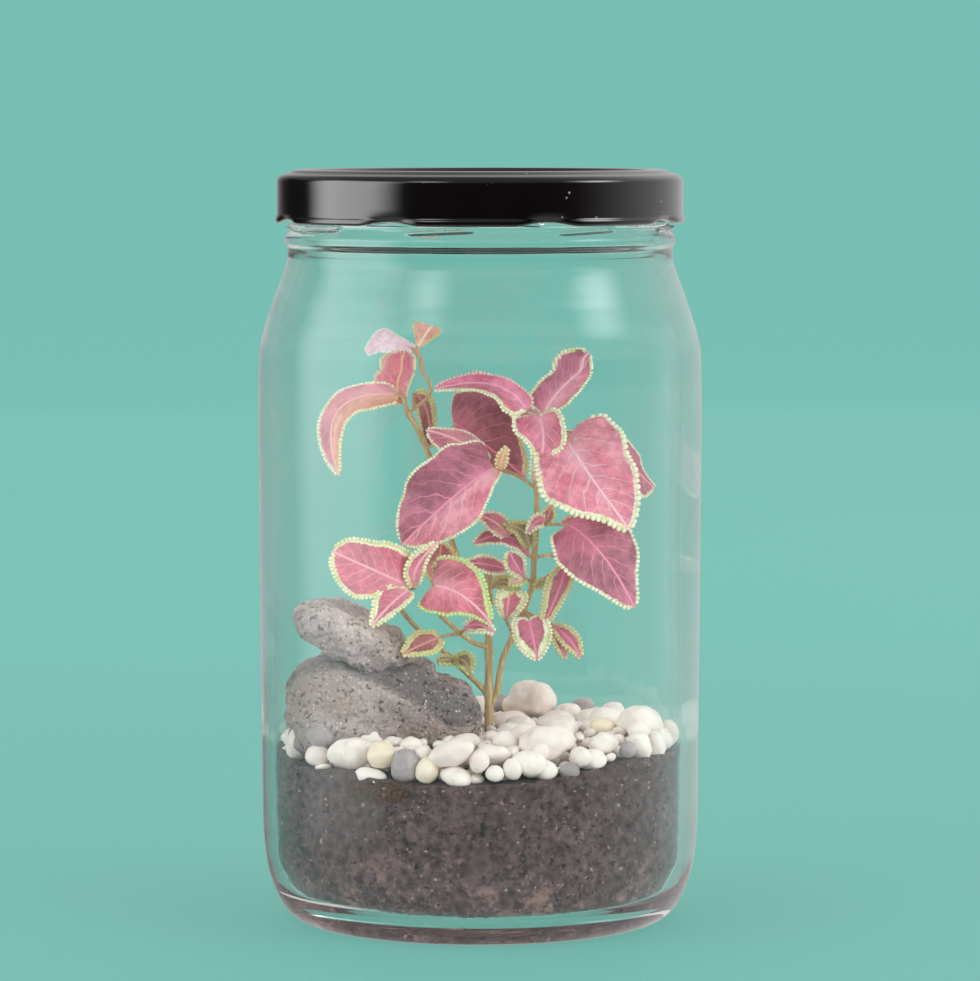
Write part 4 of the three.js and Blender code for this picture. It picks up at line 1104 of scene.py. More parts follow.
def add_crumbs():
    """Coarse crumbs of earth and pale grit pressed against the glass, most of them near the base."""
    draw = random.Random(71)
    rows = []
    while len(rows) < CRUMBS:
        turn = draw.uniform(0, 2 * math.pi)
        height = 6.5 + 37 * draw.random() ** 1.3
        size = 0.9 + 2.6 * draw.random() ** 3
        if height + size > soil_top(51 * math.sin(turn), -51 * math.cos(turn)):
            continue
        radius = float(glass_radius(height)) - GAP - 0.5 * size
        place = (radius * math.sin(turn), -radius * math.cos(turn), height)
        spin = tuple(draw.uniform(0, 360) for _ in range(3))
        shape = (size, size * draw.uniform(0.6, 0.9), size * draw.uniform(0.6, 1.0))
        rows.append((place, shape, spin, 0))
    earth = soil_material("earth_crumbs", tint(74, 54, 55), tint(146, 116, 116), 0.9)
    crumbs = stones("soil_crumbs", rows, earth, 2, 0.3, 1.1)
    dress(crumbs, "jar", "soil")


# Pebbles seen from the front: x, y, z, width, height and tilt in degrees
WHITE_PEBBLES = [
    (-47.5, -18, 47.5, 4, 5.5, 0),
    (-45.5, -21, 46.5, 4.5, 8.5, 8),
    (-40.5, -29, 44.5, 5.5, 5.5, 0),
    (-32.5, -35.5, 46, 10, 8.5, -6),
    (-26.5, -42, 41.5, 9, 4, 5),
    (-7, -48, 48, 11.5, 6, -22),
    (-6, -48.5, 42, 7.5, 5, 15),
    (-16.5, -35, 48, 5.5, 4.5, 10),
    (-13.5, -43, 47.5, 4, 4, 0),
    (-3.5, -30, 48.5, 7, 4, -5),
    (2.5, -43.5, 47, 9.5, 5, -8),
    (0, -49, 46, 4.5, 5.5, 20),
    (3.5, -49, 43, 4.5, 4, 0),
    (8, -48.5, 44, 4.5, 5.5, -10),
    (12.5, -46.5, 45, 9.5, 6.5, 14),
    (16, -46, 43.5, 5.5, 5.5, 0),
    (14.5, -42, 48, 5.5, 5, 0),
    (16, -39, 49.5, 13.5, 9, -12),
    (6, -36, 49, 6, 5.5, 0),
    (10.5, -27.5, 50, 8, 5.5, -25),
    (20.5, -25.5, 50.5, 5, 5, 0),
    (30, -34, 48.6, 8.5, 5.5, 6),
    (24.5, -42.5, 46, 5, 5, 0),
    (28, -40.5, 45, 6.5, 5.5, 10),
    (39.5, -30, 46.5, 5.5, 8.5, 5),
    (39, -18, 51.5, 12, 9.5, 8),
    (38.5, -27, 51, 6.5, 4.5, 0),
    (43.5, -25, 46.5, 4.5, 8, 0),
    (46, -20, 47.5, 6, 6, 0),
    (48, -14, 48.5, 4, 6.5, 0),
    (23, 18, 49.8, 7.5, 5, 0),
    (13.5, 22, 52.5, 12.5, 10.5, 0),
    (-0.5, 24, 50.5, 5, 5, 0),
    (34.5, 26, 49, 7, 5.5, 0),
]
GREY_PEBBLES = [
    (-38.5, -27.5, 49.5, 8, 5.5, 0),
    (-17.5, -44.5, 44, 7.5, 8.5, 8),
    (21.5, -44.5, 43, 5.5, 4, 0),
    (36, -34.5, 47, 3.5, 4.5, 0),
    (5.5, 34, 50, 5, 4.5, 0),
    (27.5, 30, 50, 6.5, 4.5, 0),
]
CREAM_PEBBLES = [
    (-24, -42, 46.5, 7, 6.5, 0),
    (-13, -47, 43.5, 5.5, 6.5, 10),
    (30, -19, 50.5, 6, 5.5, 0),
    (8, 27, 50.5, 5, 5.5, 0),
]


def in_area(x, y, area):
    return within(x, area[0]) and within(y, area[1])


def unseen_pebbles():
    """Pebbles where the front view doesn't reach, on the construction's jittered grid."""
    draw = seeded(5)
    seen = WHITE_PEBBLES + GREY_PEBBLES + CREAM_PEBBLES
    found = []
    steps = int(2 * PEBBLE_GRID_REACH // PEBBLE_PITCH) + 1
    for i in range(steps):
        for j in range(steps):
            x = -PEBBLE_GRID_REACH + i * PEBBLE_PITCH + 3 * (draw() - 0.5)
            y = -PEBBLE_GRID_REACH + j * PEBBLE_PITCH + 3 * (draw() - 0.5)
            width = 7.5 + 3 * draw()
            height = 5 + 1.5 * draw()
            at_stem = math.hypot(x - STEM_X, y - STEM_Y) < width / 2 + STEM_ROOM
            outside = math.hypot(x, y) > PEBBLE_REACH - width / 2
            on_seen = any(math.hypot(x - p[0], y - p[1]) < (width + p[3]) / 2 - 1 for p in seen)
            if not (at_stem or outside or on_seen or in_area(x, y, LARGE_OFF)):
                found.append((x, y, float(gravel_top(x, y)) + 0.6, width, height, 0))
    return found


def stone_row(pebble, draw, tone):
    """A pebble's place, size, turn and tone, kept off the glass; near the glass it faces outwards."""
    x, y, z, width, height, tilt = pebble
    depth = min(width, height) * draw.uniform(1.0, 1.25)
    if math.hypot(x, y) + depth / 2 > PEBBLE_REACH:
        pull = (PEBBLE_REACH - depth / 2) / math.hypot(x, y)
        x, y = x * pull, y * pull
    facing = math.degrees(math.atan2(x, -y)) if math.hypot(x, y) > 40 else draw.uniform(-20, 20)
    return (x, y, z), (width, depth, height), (draw.uniform(-12, 12), tilt, facing), tone


def filler_pebbles(placed):
    """Smaller pebbles that fill the bed between the large ones, none on the stem or in the rocks."""
    draw = random.Random(29)
    rows = []
    kept = [(p[0], p[1], p[2], max(p[3], p[4])) for p in placed]
    for _ in range(FILLER_TRIES):
        if len(rows) == FILLER_PEBBLES:
            break
        angle = draw.uniform(0, 2 * math.pi)
        size = 2.6 + 3.6 * draw.random() ** 1.3
        radius = (PEBBLE_REACH - size / 2) * math.sqrt(draw.random())
        x = radius * math.sin(angle)
        y = -radius * math.cos(angle)
        top = float(gravel_top(x, y))
        low = float(soil_top(x, y))
        z = draw.uniform(low + 0.3, top + 0.4)
        at_stem = math.hypot(x - STEM_X, y - STEM_Y) < size / 2 + STEM_ROOM
        if at_stem or in_area(x, y, SMALL_OFF):
            continue
        if any((x - a) ** 2 + (y - b) ** 2 + (z - c) ** 2 < (0.42 * (size + d)) ** 2 for a, b, c, d in kept):
            continue
        kept.append((x, y, z, size))
        shape = tuple(size * draw.uniform(*span) for span in ((0.95, 1.3), (0.75, 1.0), (0.6, 0.85)))
        spin = (draw.uniform(-25, 25), draw.uniform(-25, 25), draw.uniform(0, 360))
        rows.append(((x, y, z), shape, spin, draw.random() ** 2 * 0.9))
    return rows


def add_pebbles():
    draw = random.Random(17)
    white = stone_material("white_marble", tint(253, 243, 236), tint(244, 226, 218), tint(228, 208, 200))
    grey = stone_material("grey_marble", tint(186, 174, 174), tint(150, 138, 142), tint(210, 200, 198))
    cream = stone_material("cream_marble", tint(252, 241, 224), tint(248, 230, 204), tint(240, 214, 184))
    seen = [stone_row(p, draw, draw.random() ** 2 * 0.7) for p in WHITE_PEBBLES]
    hidden = unseen_pebbles()
    unseen = [stone_row(p, draw, draw.random() ** 2 * 0.8) for p in hidden]
    filler = filler_pebbles(WHITE_PEBBLES + GREY_PEBBLES + CREAM_PEBBLES + hidden)
    parts = [
        stones("seen_pebbles", seen, white, 4, 0.17, 5.0),
        stones("unseen_pebbles", unseen, white, 3, 0.17, 5.5),
        stones("filler_pebbles", filler, white, 2, 0.2, 3.0),
    ]
    dress(joined_piece("white_pebble_bed", parts), "jar", "white_pebbles")
    for word, rows, finish in (("grey", GREY_PEBBLES, grey), ("cream", CREAM_PEBBLES, cream)):
        for i, pebble in enumerate(rows):
            name = f"{word}_stone_{i + 1}"
            piece = stones(name, [stone_row(pebble, draw, draw.random())], finish, 5, 0.17, 4.5)
            dress(piece, "jar", f"{word}_pebble_{i + 1}")


# Rocks: a side outline in x and z, swelling and closing towards the front and the back
LOWER_ROCK = {
    "outline": [
        (-46, 44),
        (-47.8, 50),
        (-48.4, 56),
        (-47.6, 62),
        (-44.5, 66.5),
        (-39, 68.2),
        (-30, 67.5),
        (-21, 67.6),
        (-15, 66.8),
        (-11.3, 65),
        (-10.6, 62.6),
        (-5.5, 61),
        (-1.6, 58),
        (0.4, 53.5),
        (0.2, 49),
        (-3, 44),
    ],
    "centre": (-24, 55),
    "middle_y": -8,
    "half_depth": 22,
    "ledge": [
        (-46, 60),
        (-44.5, 63.2),
        (-42, 64.2),
        (-34.8, 65.2),
        (-28.4, 63.6),
        (-21.7, 61),
        (-14.8, 57),
        (-8, 51),
    ],
}
UPPER_ROCK = {
    "outline": [
        (-47, 78.2),
        (-45, 81),
        (-40.8, 82.2),
        (-36.3, 82),
        (-31.8, 80.4),
        (-27, 78.6),
        (-23.7, 75.6),
        (-20, 73.2),
        (-17.4, 70),
        (-15.8, 65.5),
        (-18.8, 63.4),
        (-24, 60),
        (-30.4, 63.6),
        (-36.5, 66.2),
        (-40.5, 69.3),
        (-45.8, 74.6),
    ],
    "centre": (-31.5, 72.5),
    "middle_y": -7,
    "half_depth": 16,
}
LEDGE_DEPTH = 4.5
# Layers of a rock from front to back: share of its half depth, and of its outline
ROCK_LAYERS = [
    (-1, 0.05),
    (-1, 0.46),
    (-0.88, 0.8),
    (-0.55, 0.96),
    (0, 1),
    (0.5, 0.94),
    (0.85, 0.74),
    (1, 0.4),
    (1, 0.05),
]
ROCK_ROUND = 220


def closed_outline(outline, count):
    """Even points round a closed smooth outline."""
    loop = smooth_path([(*p, 0) for p in (outline[-1], *outline, outline[0], outline[1])], 12)
    loop = loop[12:-12]
    length = np.concatenate([[0], np.cumsum(np.linalg.norm(np.diff(loop, axis=0), axis=1))])
    wanted = np.arange(count) / count * length[-1]
    return np.stack([np.interp(wanted, length, loop[:, k]) for k in (0, 1)], axis=-1)


def rock_points(rock):
    outline = closed_outline(rock["outline"], ROCK_ROUND) - rock["centre"]
    layers = rounded([(*p, 0.16) for p in ROCK_LAYERS], lambda place: 0.04, 3)
    rings = []
    for depth, share in layers:
        flat = np.array(rock["centre"]) + outline * share
        y = np.full(ROCK_ROUND, rock["middle_y"] + depth * rock["half_depth"])
        rings.append(np.stack([flat[:, 0], y, flat[:, 1]], axis=-1))
    return np.array(rings)


def outward_of(rings):
    """Rough outward direction at each point of a stack of rings."""
    around = np.roll(rings, -1, axis=1) - np.roll(rings, 1, axis=1)
    along = np.gradient(rings, axis=0)
    out = unit(np.cross(around, along))
    centre = rings.mean(axis=(0, 1))
    facing = np.sign((out * (rings - centre)).sum(axis=-1, keepdims=True))
    return out * np.where(facing == 0, 1, facing)


def above_ledge(points, ledge):
    """How far each point lies in the band above the ledge, which is set back from the front slab."""
    top = np.interp(points[..., 0], [x for x, _ in ledge], [z for _, z in ledge])
    return soft_step(-0.2, 0.9, points[..., 2] - top)


def with_ledge(rings, ledge):
    in_front = soft_step(-14, -22, rings[..., 1])
    moved = rings.copy()
    moved[..., 1] += LEDGE_DEPTH * above_ledge(rings, ledge) * in_front
    return moved


def add_rock(name, node_name, rock, seed, material, shade):
    rings = rock_points(rock)
    out = outward_of(rings)
    big = roughness_at(rings, 11, seed)
    facets = creases_at(rings, 7.5, seed)
    fine = roughness_at(rings, 2.2, seed + 1)
    grit = creases_at(rings, 1.6, seed + 2)
    move = 0.9 * big + 1.6 * np.minimum(facets, 0.5) - 0.8 + 0.45 * fine + 0.35 * np.minimum(grit, 0.5)
    rings = rings + out * move[..., None]
    if "ledge" in rock:
        rings = with_ledge(rings, rock["ledge"])
    shape = ring_shape(rings, rings[0].mean(axis=0), rings[-1].mean(axis=0))
    piece = new_piece(name, *shape, material)
    add_values(piece, "shade", shade(shape[0]))
    dress(piece, "jar", node_name)


def lower_shade(points):
    """Darker in the recess above the front slab, which the upper rock shades."""
    return 0.75 * above_ledge(points, LOWER_ROCK["ledge"]) * soft_step(-12, -18, points[:, 1])


def upper_shade(points):
    """Painted shade: darker on its sloping lower right part."""
    slope = points[:, 2] + 0.55 * points[:, 0]
    return 0.3 * soft_step(58, 52, slope)


def add_rocks():
    upper = rock_material("mauve_stone", tint(234, 216, 212), tint(186, 167, 165), 0.25)
    lower = rock_material("brown_grey_stone", tint(198, 180, 178), tint(152, 137, 140), 0.7)
    add_rock("lower_rock", "rock_lower", LOWER_ROCK, 5, lower, lower_shade)
    add_rock("upper_rock", "rock_upper", UPPER_ROCK, 8, upper, upper_shade)


# Plant
# Leaf looks: first and second tint of the blade, its veins and its margin
LOOKS = {
    "rose": ((246, 138, 162), (220, 108, 134), (254, 184, 204), (254, 254, 220)),
    "pink": ((254, 162, 180), (242, 130, 156), (255, 204, 216), (255, 253, 220)),
    "mauve": ((208, 122, 146), (172, 98, 116), (250, 150, 182), (254, 252, 222)),
    "plum": ((194, 116, 134), (168, 92, 110), (240, 138, 170), (228, 220, 168)),
    "brown": ((196, 120, 124), (162, 94, 98), (230, 162, 156), (228, 228, 164)),
    "magenta": ((252, 140, 172), (228, 104, 142), (255, 176, 206), (255, 208, 204)),
    "peach": ((254, 178, 154), (252, 158, 152), (255, 214, 164), (255, 238, 184)),
    "dusty": ((238, 146, 162), (220, 128, 150), (252, 190, 190), (255, 248, 224)),
    "blush": ((255, 238, 244), (255, 226, 238), (252, 206, 222), (255, 251, 249)),
    "coral": ((250, 168, 150), (242, 144, 140), (255, 228, 200), (254, 214, 140)),
    "hot": ((255, 166, 184), (250, 130, 160), (255, 206, 170), (255, 232, 206)),
    "lime": ((244, 134, 152), (210, 108, 120), (255, 186, 200), (212, 240, 160)),
    "cream": ((236, 124, 144), (204, 110, 134), (254, 182, 198), (250, 251, 208)),
    "olive": ((168, 154, 112), (142, 110, 102), (194, 176, 132), (214, 218, 152)),
}


def oval(half, widest=0.45):
    """Half widths of a plain almond-shaped leaf, from base to tip."""
    share = np.array([0.06, 0.2, 0.4, 0.6, 0.8, 0.96])
    return tuple(half * np.sin(np.pi * share ** (math.log(0.5) / math.log(widest))) ** 0.85)


def leaf(look, base, crest, tip, face, left, right=None, rim=0.8, **more):
    """One leaf, with one look or one for each half. Its midrib runs from base through crest to tip, and its
    face looks one way. left and right are its half widths from base to tip. rim is the width of the pale
    margin, or its widths at the left base, left tip, right base and right tip. more may set the root, where
    its stalk leaves the stem, the lobe, how far a heart-shaped base reaches back, the fold, how far its
    edges rise, the bead, the length of one round tooth, and how fine its mesh is."""
    return {
        "looks": look if isinstance(look, tuple) else (look, look),
        "midrib": (base, crest, tip),
        "face": face,
        "left": left,
        "right": right or left,
        "rims": rim if isinstance(rim, tuple) else (rim, rim, rim, rim),
        **{"root": None, "lobe": 0.0, "fold": CHANNEL, "bead": 1.0, "fine": 1},
        **more,
    }


UPPER_LEFT_LEAVES = [
    # Arching over to the far left
    leaf(
        ("peach", "dusty"), (-20.5, 8, 132), (-36, 1, 128), (-35.5, -4, 112.5), (-0.35, -0.85, 0.4),
        (2.6, 4.4, 4.8, 4.4, 2.7, 0.4), (2.4, 3.6, 3.6, 3.5, 2.8, 0.6),
        root=(-18.5, 8, 127), rim=(0.2, 0.3, 0.2, 0.6), fold=0.3, bead=0.95,
    ),
    # Small, near white
    leaf(
        "blush", (-16.5, 7, 141.5), (-22.5, 5, 143.5), (-28.5, 2, 141), (-0.25, -0.97, -0.05),
        (0.8, 1.7, 2.2, 2.1, 1.3, 0.4), (0.5, 1, 2.2, 4.6, 2.6, 0.6),
        root=(-16, 7, 140.5), rim=0.1, fold=0.05, bead=0.6,
    ),
    # Open fan
    leaf(
        "coral", (-16, 7, 142), (-14.5, 8, 145), (-12.5, 9, 149), (0.1, -0.95, -0.1),
        (0.4, 1, 2, 3.2, 4.2, 3.8), (0.4, 0.8, 1.4, 2.1, 2.8, 3.2),
        root=(-16, 7, 140.5), rim=(0.1, 0.6, 0.1, 0.6), bead=0.55,
    ),
    # Folded, bright pink
    leaf(
        "hot", (-19, 9, 130), (-21, 11, 134.5), (-19, 13, 141), (-0.2, -0.95, 0.1),
        (1, 2.4, 4.4, 5.6, 4, 1.4), (1, 2.2, 3, 3.4, 3.3, 2.6),
        root=(-18.5, 9, 127.5), rim=(0.3, 0.6, 0.2, 0.3), fold=0.35, bead=0.7,
    ),
    # Hanging under them
    leaf(
        "brown", (-17, 10, 132), (-14, 12, 127.5), (-13, 12, 118.5), (0.2, -0.95, 0.2),
        (1.4, 2.5, 2.3, 1.8, 1.2, 0.3), (1.2, 1.8, 2, 2.2, 2, 0.5),
        root=(-16, 9, 127.5), rim=(1.4, 0.4, 0.2, 0.2),
    ),
    # Large and dark, behind the right shoot
    leaf(
        "plum", (-7, 10, 124.5), (-1, 14, 120.5), (12, 13, 111), (0.05, -0.95, 0.3),
        (6, 9.8, 11.4, 10.6, 7.3, 1.8), (3, 4.8, 4.6, 4.5, 3.2, 0.5),
        root=(-11, 8, 110.5), rim=(0.1, 0.9, 0.1, 0.2), lobe=4.5, bead=0.6,
    ),
]
RIGHT_LEAVES = [
    # Bridges over to the left at the top
    leaf(
        ("rose", "magenta"), (12, 0, 128.5), (2.5, 0, 135.5), (-12, 3, 133.5), (0.1, -0.75, 0.65),
        (5, 6.6, 5, 3.8, 2.4, 0.4), (2.5, 3, 3.2, 3, 2.6, 0.8),
        root=(13.5, 0, 124), rim=(1.2, 0.5, 0.1, 0.1), fold=0.3,
    ),
    # Pink, at its side
    leaf(
        "dusty", (2, -4, 115.5), (-5, 1, 120.5), (-14, 2, 123.5), (-0.1, -0.92, 0.35),
        (1.5, 3, 4.2, 4.2, 3.4, 0.8), (1, 2.2, 3, 2.4, 1.4, 0.4),
        root=(6, -2, 113.5), rim=0.2, bead=0.7,
    ),
    # Pointing up at the top
    leaf(
        ("mauve", "pink"), (16.5, 0, 127.5), (20.5, 1, 134), (27.5, 2, 141.5), (-0.2, -0.93, 0.3),
        (2, 5.3, 5.6, 5.1, 4.2, 1.2), (1.2, 2.8, 3.8, 4.1, 3.4, 1.2),
        root=(14, 0, 125), rim=(0.5, 0.4, 0.1, 0.2), bead=0.9,
    ),
    # Drooping in the middle
    leaf(
        "rose", (15, -3, 127.5), (16, -8, 120.5), (13.5, -8, 112), (0, -0.9, 0.45),
        (4.2, 5.2, 5.2, 3, 1.6, 0.6), (6, 7.3, 5.4, 2.8, 1.9, 0.9),
        root=(14, -1, 125.5), rim=(0.8, 0.7, 0.5, 1.2), lobe=1.5, bead=1.0,
    ),
    # Large, towards the left; its upper left half takes the darker mauve look as painted shade
    leaf(
        ("pink", "mauve"), (3.5, -4, 114.5), (-5.5, -10, 109), (-19.5, -8, 95.5), (-0.1, -0.92, 0.35),
        (1.8, 3.8, 7, 9.3, 7, 1.4), (6.5, 9.4, 10.9, 10.8, 8.6, 2),
        root=(4.5, -3, 114), rim=(0.15, 0.3, 0.15, 0.25), lobe=3, bead=0.9,
    ),
    # Large, towards the right
    leaf(
        "pink", (22, -5, 121.5), (28.5, -13, 111.5), (37, -13, 99.5), (0.1, -0.92, 0.35),
        (10, 12, 10.6, 9.5, 6.8, 1.5), (6.5, 10.5, 12.8, 9.8, 4, 0.8),
        root=(15, -2, 124.5), rim=(0.3, 1.0, 0.6, 1.1), lobe=5.5, bead=1.45,
    ),
    # Behind it at the right
    leaf(
        "mauve", (32.5, 4, 122), (39, 8, 114), (45.5, 9, 108.5), (-0.1, -0.9, 0.4),
        (1.5, 3, 3.2, 1.8, 0.9, 0.5), (1.5, 2.5, 3.4, 4.4, 4.6, 1.6),
        root=(15, 2, 123.5), rim=(0.1, 0.2, 0.2, 0.6), bead=0.6,
    ),
    # Lower right
    leaf(
        "mauve", (22.5, -4, 100), (30, -9, 93.5), (38.5, -8, 79.5), (0.15, -0.9, 0.4),
        (3, 6.2, 9.6, 8.4, 4.6, 1.0), (4.5, 8.5, 10.5, 9.1, 5.6, 1.6),
        root=(15, 0, 100), rim=(0.1, 0.3, 0.2, 0.4), lobe=1.5, bead=1.15,
    ),
    # Short bracts, scraps and young leaves along the stem
    leaf("peach", (5, -3.2, 114), (5.5, -5, 117), (7, -5, 120), (0, -1, 0.1), oval(1.3), rim=0.4),
    leaf(
        "mauve", (12.5, -1, 92), (6.5, -2, 97), (-2, -1, 95), (0.1, -0.8, 0.6), oval(3, 0.5),
        root=(13.5, 0, 91.5), rim=0.3, fold=0.4,
    ),
    leaf("dusty", (7, -1.9, 96.7), (4, -3, 100.5), (-1, -2, 102.5), (0.2, -0.9, 0.3), oval(2.6), rim=0.4),
    leaf("olive", (12.5, -1, 94), (11, -3, 98.5), (6, -4, 100), (0.2, -0.9, 0.3), oval(2.4, 0.4), rim=0.6),
    leaf(
        "mauve", (11.5, -4, 86.5), (9, -7, 90.5), (7.5, -6, 93.5), (0.1, -0.95, 0.3), oval(2.7, 0.55),
        root=(12.5, -1, 85.5), rim=0.6,
    ),
    leaf("lime", (11.8, -3.6, 86.2), (9.5, -6, 86), (7, -6, 85.5), (0, -0.9, 0.4), oval(1.1, 0.5)),
    # Wedge with broad white edges
    leaf(
        "cream", (6.5, -4, 76), (7, -6, 79.5), (7.5, -5, 83.5), (0, -0.9, 0.3),
        (0.5, 1.6, 2.5, 3.1, 3.2, 2.6), (0.5, 1.7, 2.8, 3.9, 4.6, 4.2),
        root=(7, -2, 72), rim=(1.2, 2, 0.7, 1.3),
    ),
    leaf(
        "olive", (16.5, -2, 85.5), (15.5, -3, 85), (14, -3, 84), (0, -0.9, 0.3), oval(1.2),
        root=(15.5, 0, 84.5),
    ),
    # Narrow and dark, hanging
    leaf(
        "plum", (21.5, -4, 89), (20, -8, 84), (16, -7, 74.5), (0.1, -0.93, 0.3),
        (1.4, 2.1, 2.3, 1.9, 1.5, 0.4), (1.6, 2.6, 3.3, 3, 2.1, 0.5),
        root=(15, 0, 84), rim=(0.4, 0.9, 0.9, 1.5),
    ),
    # Heart-shaped, with a broad smooth edge
    leaf(
        "mauve", (12.5, -6, 76.5), (13.5, -10, 72), (14.5, -10, 66.5), (0, -0.93, 0.35),
        (3.4, 4.4, 4.6, 4, 2.6, 0.5), (3.4, 4.6, 4.8, 4.2, 2.8, 0.5),
        root=(11, -1, 77.5), rim=(1, 2.2, 1, 2.2), lobe=1.4,
    ),
    # Notched pair
    leaf(
        "plum", (18.5, -3, 74.5), (22.5, -5, 71.5), (25.5, -5, 66.5), (0.1, -0.9, 0.3), oval(2.2, 0.5),
        root=(11.5, 0, 77.5), rim=0.7,
    ),
    leaf(
        "plum", (18.2, -2.9, 74.6), (20.5, -5, 70.5), (21.5, -5, 66.5), (0.1, -0.9, 0.3), oval(1.7),
        rim=0.6,
    ),
    leaf(
        "brown", (16.5, -1, 100), (17.5, -2, 102.5), (18.5, -3, 105.5), (0, -1, 0.1), oval(1.6),
        root=(14.5, 0, 100), rim=0.4,
    ),
    leaf(
        "mauve", (16.5, -2, 101), (14.5, -4, 101), (12, -4, 98), (0, -0.95, 0.2), oval(1.6, 0.4),
        root=(14.5, 0, 100.5), rim=0.5,
    ),
    leaf(
        "plum", (20.5, -2.6, 100.4), (25.5, -2, 101.5), (28.5, -2, 102.5), (0, -0.8, 0.5), oval(1.5),
        rim=0.4,
    ),
    # Turned to the back
    leaf(
        "rose", (17.5, 8, 121), (24.5, 18, 116), (31, 27, 108.5), (0, 0.5, 0.8), oval(7, 0.35),
        root=(14.5, 2, 123.5), fine=0.6,
    ),
    leaf(
        "pink", (16, 8, 126), (14, 17, 127), (9, 26, 121), (0, 0.5, 0.8), oval(5.5, 0.35),
        root=(13.5, 2, 123), fine=0.6,
    ),
    leaf(
        "mauve", (19, 8, 91.5), (28, 16, 89.5), (35.5, 22, 84.5), (0.1, 0.5, 0.8), oval(5.5, 0.35),
        root=(15, 2, 91.5), fine=0.6,
    ),
]
MAIN_LEAVES = [
    leaf(
        "mauve", (6.5, 0, 88.5), (1, -3, 90), (-4.5, -5, 90.5), (0, -0.8, 0.5), oval(2.4, 0.4),
        root=(2, 0, 88), rim=0.5,
    ),
    leaf(
        "olive", (3, 3, 83.5), (6.5, 6, 84.5), (10.5, 6, 82.5), (0, -0.8, 0.6), oval(2, 0.4),
        root=(2, 1, 86.5),
    ),
    leaf(
        "plum", (1, 5, 79.5), (-1, 12, 79), (-4.5, 20, 79), (0, 0.5, 0.8), oval(4, 0.4),
        root=(2, 1, 80.5), fine=0.6,
    ),
]
LOWER_LEFT_LEAVES = [
    # Broad, with a cream edge
    leaf(
        "cream", (-17.5, -16, 86), (-26.5, -20, 90.5), (-36.5, -20, 95), (-0.15, -0.9, 0.35),
        (2, 3.4, 6.6, 8.5, 6.4, 1.4), (3.5, 7.6, 7.7, 6.3, 5.3, 1.8),
        root=(-18, -14, 85), rim=(0.5, 0.9, 1.5, 0.7), lobe=1,
    ),
    # Pointed, below it
    leaf(
        "cream", (-17.5, -17, 85), (-21.5, -22, 82), (-26.5, -24, 76.5), (-0.1, -0.92, 0.35),
        (1, 2.4, 2.6, 2.3, 1.7, 0.4), (1.5, 3.3, 4.7, 4.1, 2.2, 0.4),
        root=(-18, -14, 85), rim=(0.4, 1, 0.9, 1.2),
    ),
    # Upright
    leaf(
        "cream", (-16, -16, 85.5), (-15.5, -18, 91), (-10.5, -17, 97), (0.1, -0.98, 0.1),
        (0.7, 1.7, 2.4, 2.4, 1.5, 0.4), (0.6, 1.6, 1.8, 1.4, 0.8, 0.3),
        root=(-18, -14, 85), rim=(0.8, 0.8, 0.3, 0.3),
    ),
    leaf(
        "olive", (-6.5, -3, 65.5), (-4, -5, 65.5), (-3, -6, 62.5), (0, -0.9, 0.3), oval(2.2),
        root=(-7, -1, 64.5), rim=0.7,
    ),
    leaf("olive", (-6.8, -1, 65.2), (-9, -4.5, 65.8), (-11, -5.5, 65.4), (0, -0.9, 0.3), oval(1.2), rim=0.4),
]
MID_LEFT_LEAVES = [
    # Heart-shaped, with a lime edge
    leaf(
        "lime", (-11.5, -18, 86), (-4.5, -22, 84), (2.5, -20, 77), (0.05, -0.92, 0.35),
        (5.5, 8, 7.7, 6, 3.2, 0.8), (5.5, 7.2, 6.8, 4.6, 2.2, 0.8),
        root=(-10, -13, 78.5), rim=(0.4, 1.3, 0.3, 0.4), lobe=2.6,
    ),
    # In the shade behind it
    leaf(
        "brown", (-12, -12, 86.5), (-10.5, -6, 91.5), (-10, -3, 95.5), (0, -0.95, 0.2), oval(4.3),
        root=(-10, -12, 78.5), rim=0.7,
    ),
    leaf(
        "mauve", (-4, -14, 74.5), (-0.5, -16, 76), (3.5, -17, 74), (0, -0.9, 0.4), oval(2.1),
        root=(-5, -8, 73), rim=0.8,
    ),
    leaf(
        "brown", (-10, -13, 72.5), (-14.5, -17, 71), (-19, -21, 69), (-0.1, -0.9, 0.4), oval(3.4, 0.4),
        root=(-5.5, -8, 72.5), rim=1,
    ),
]
LEAVES = {
    "shoot_upper_left": UPPER_LEFT_LEAVES,
    "shoot_right": RIGHT_LEAVES,
    "shoot_main": MAIN_LEAVES,
    "shoot_lower_left": LOWER_LEFT_LEAVES,
    "shoot_mid_left": MID_LEFT_LEAVES,
}

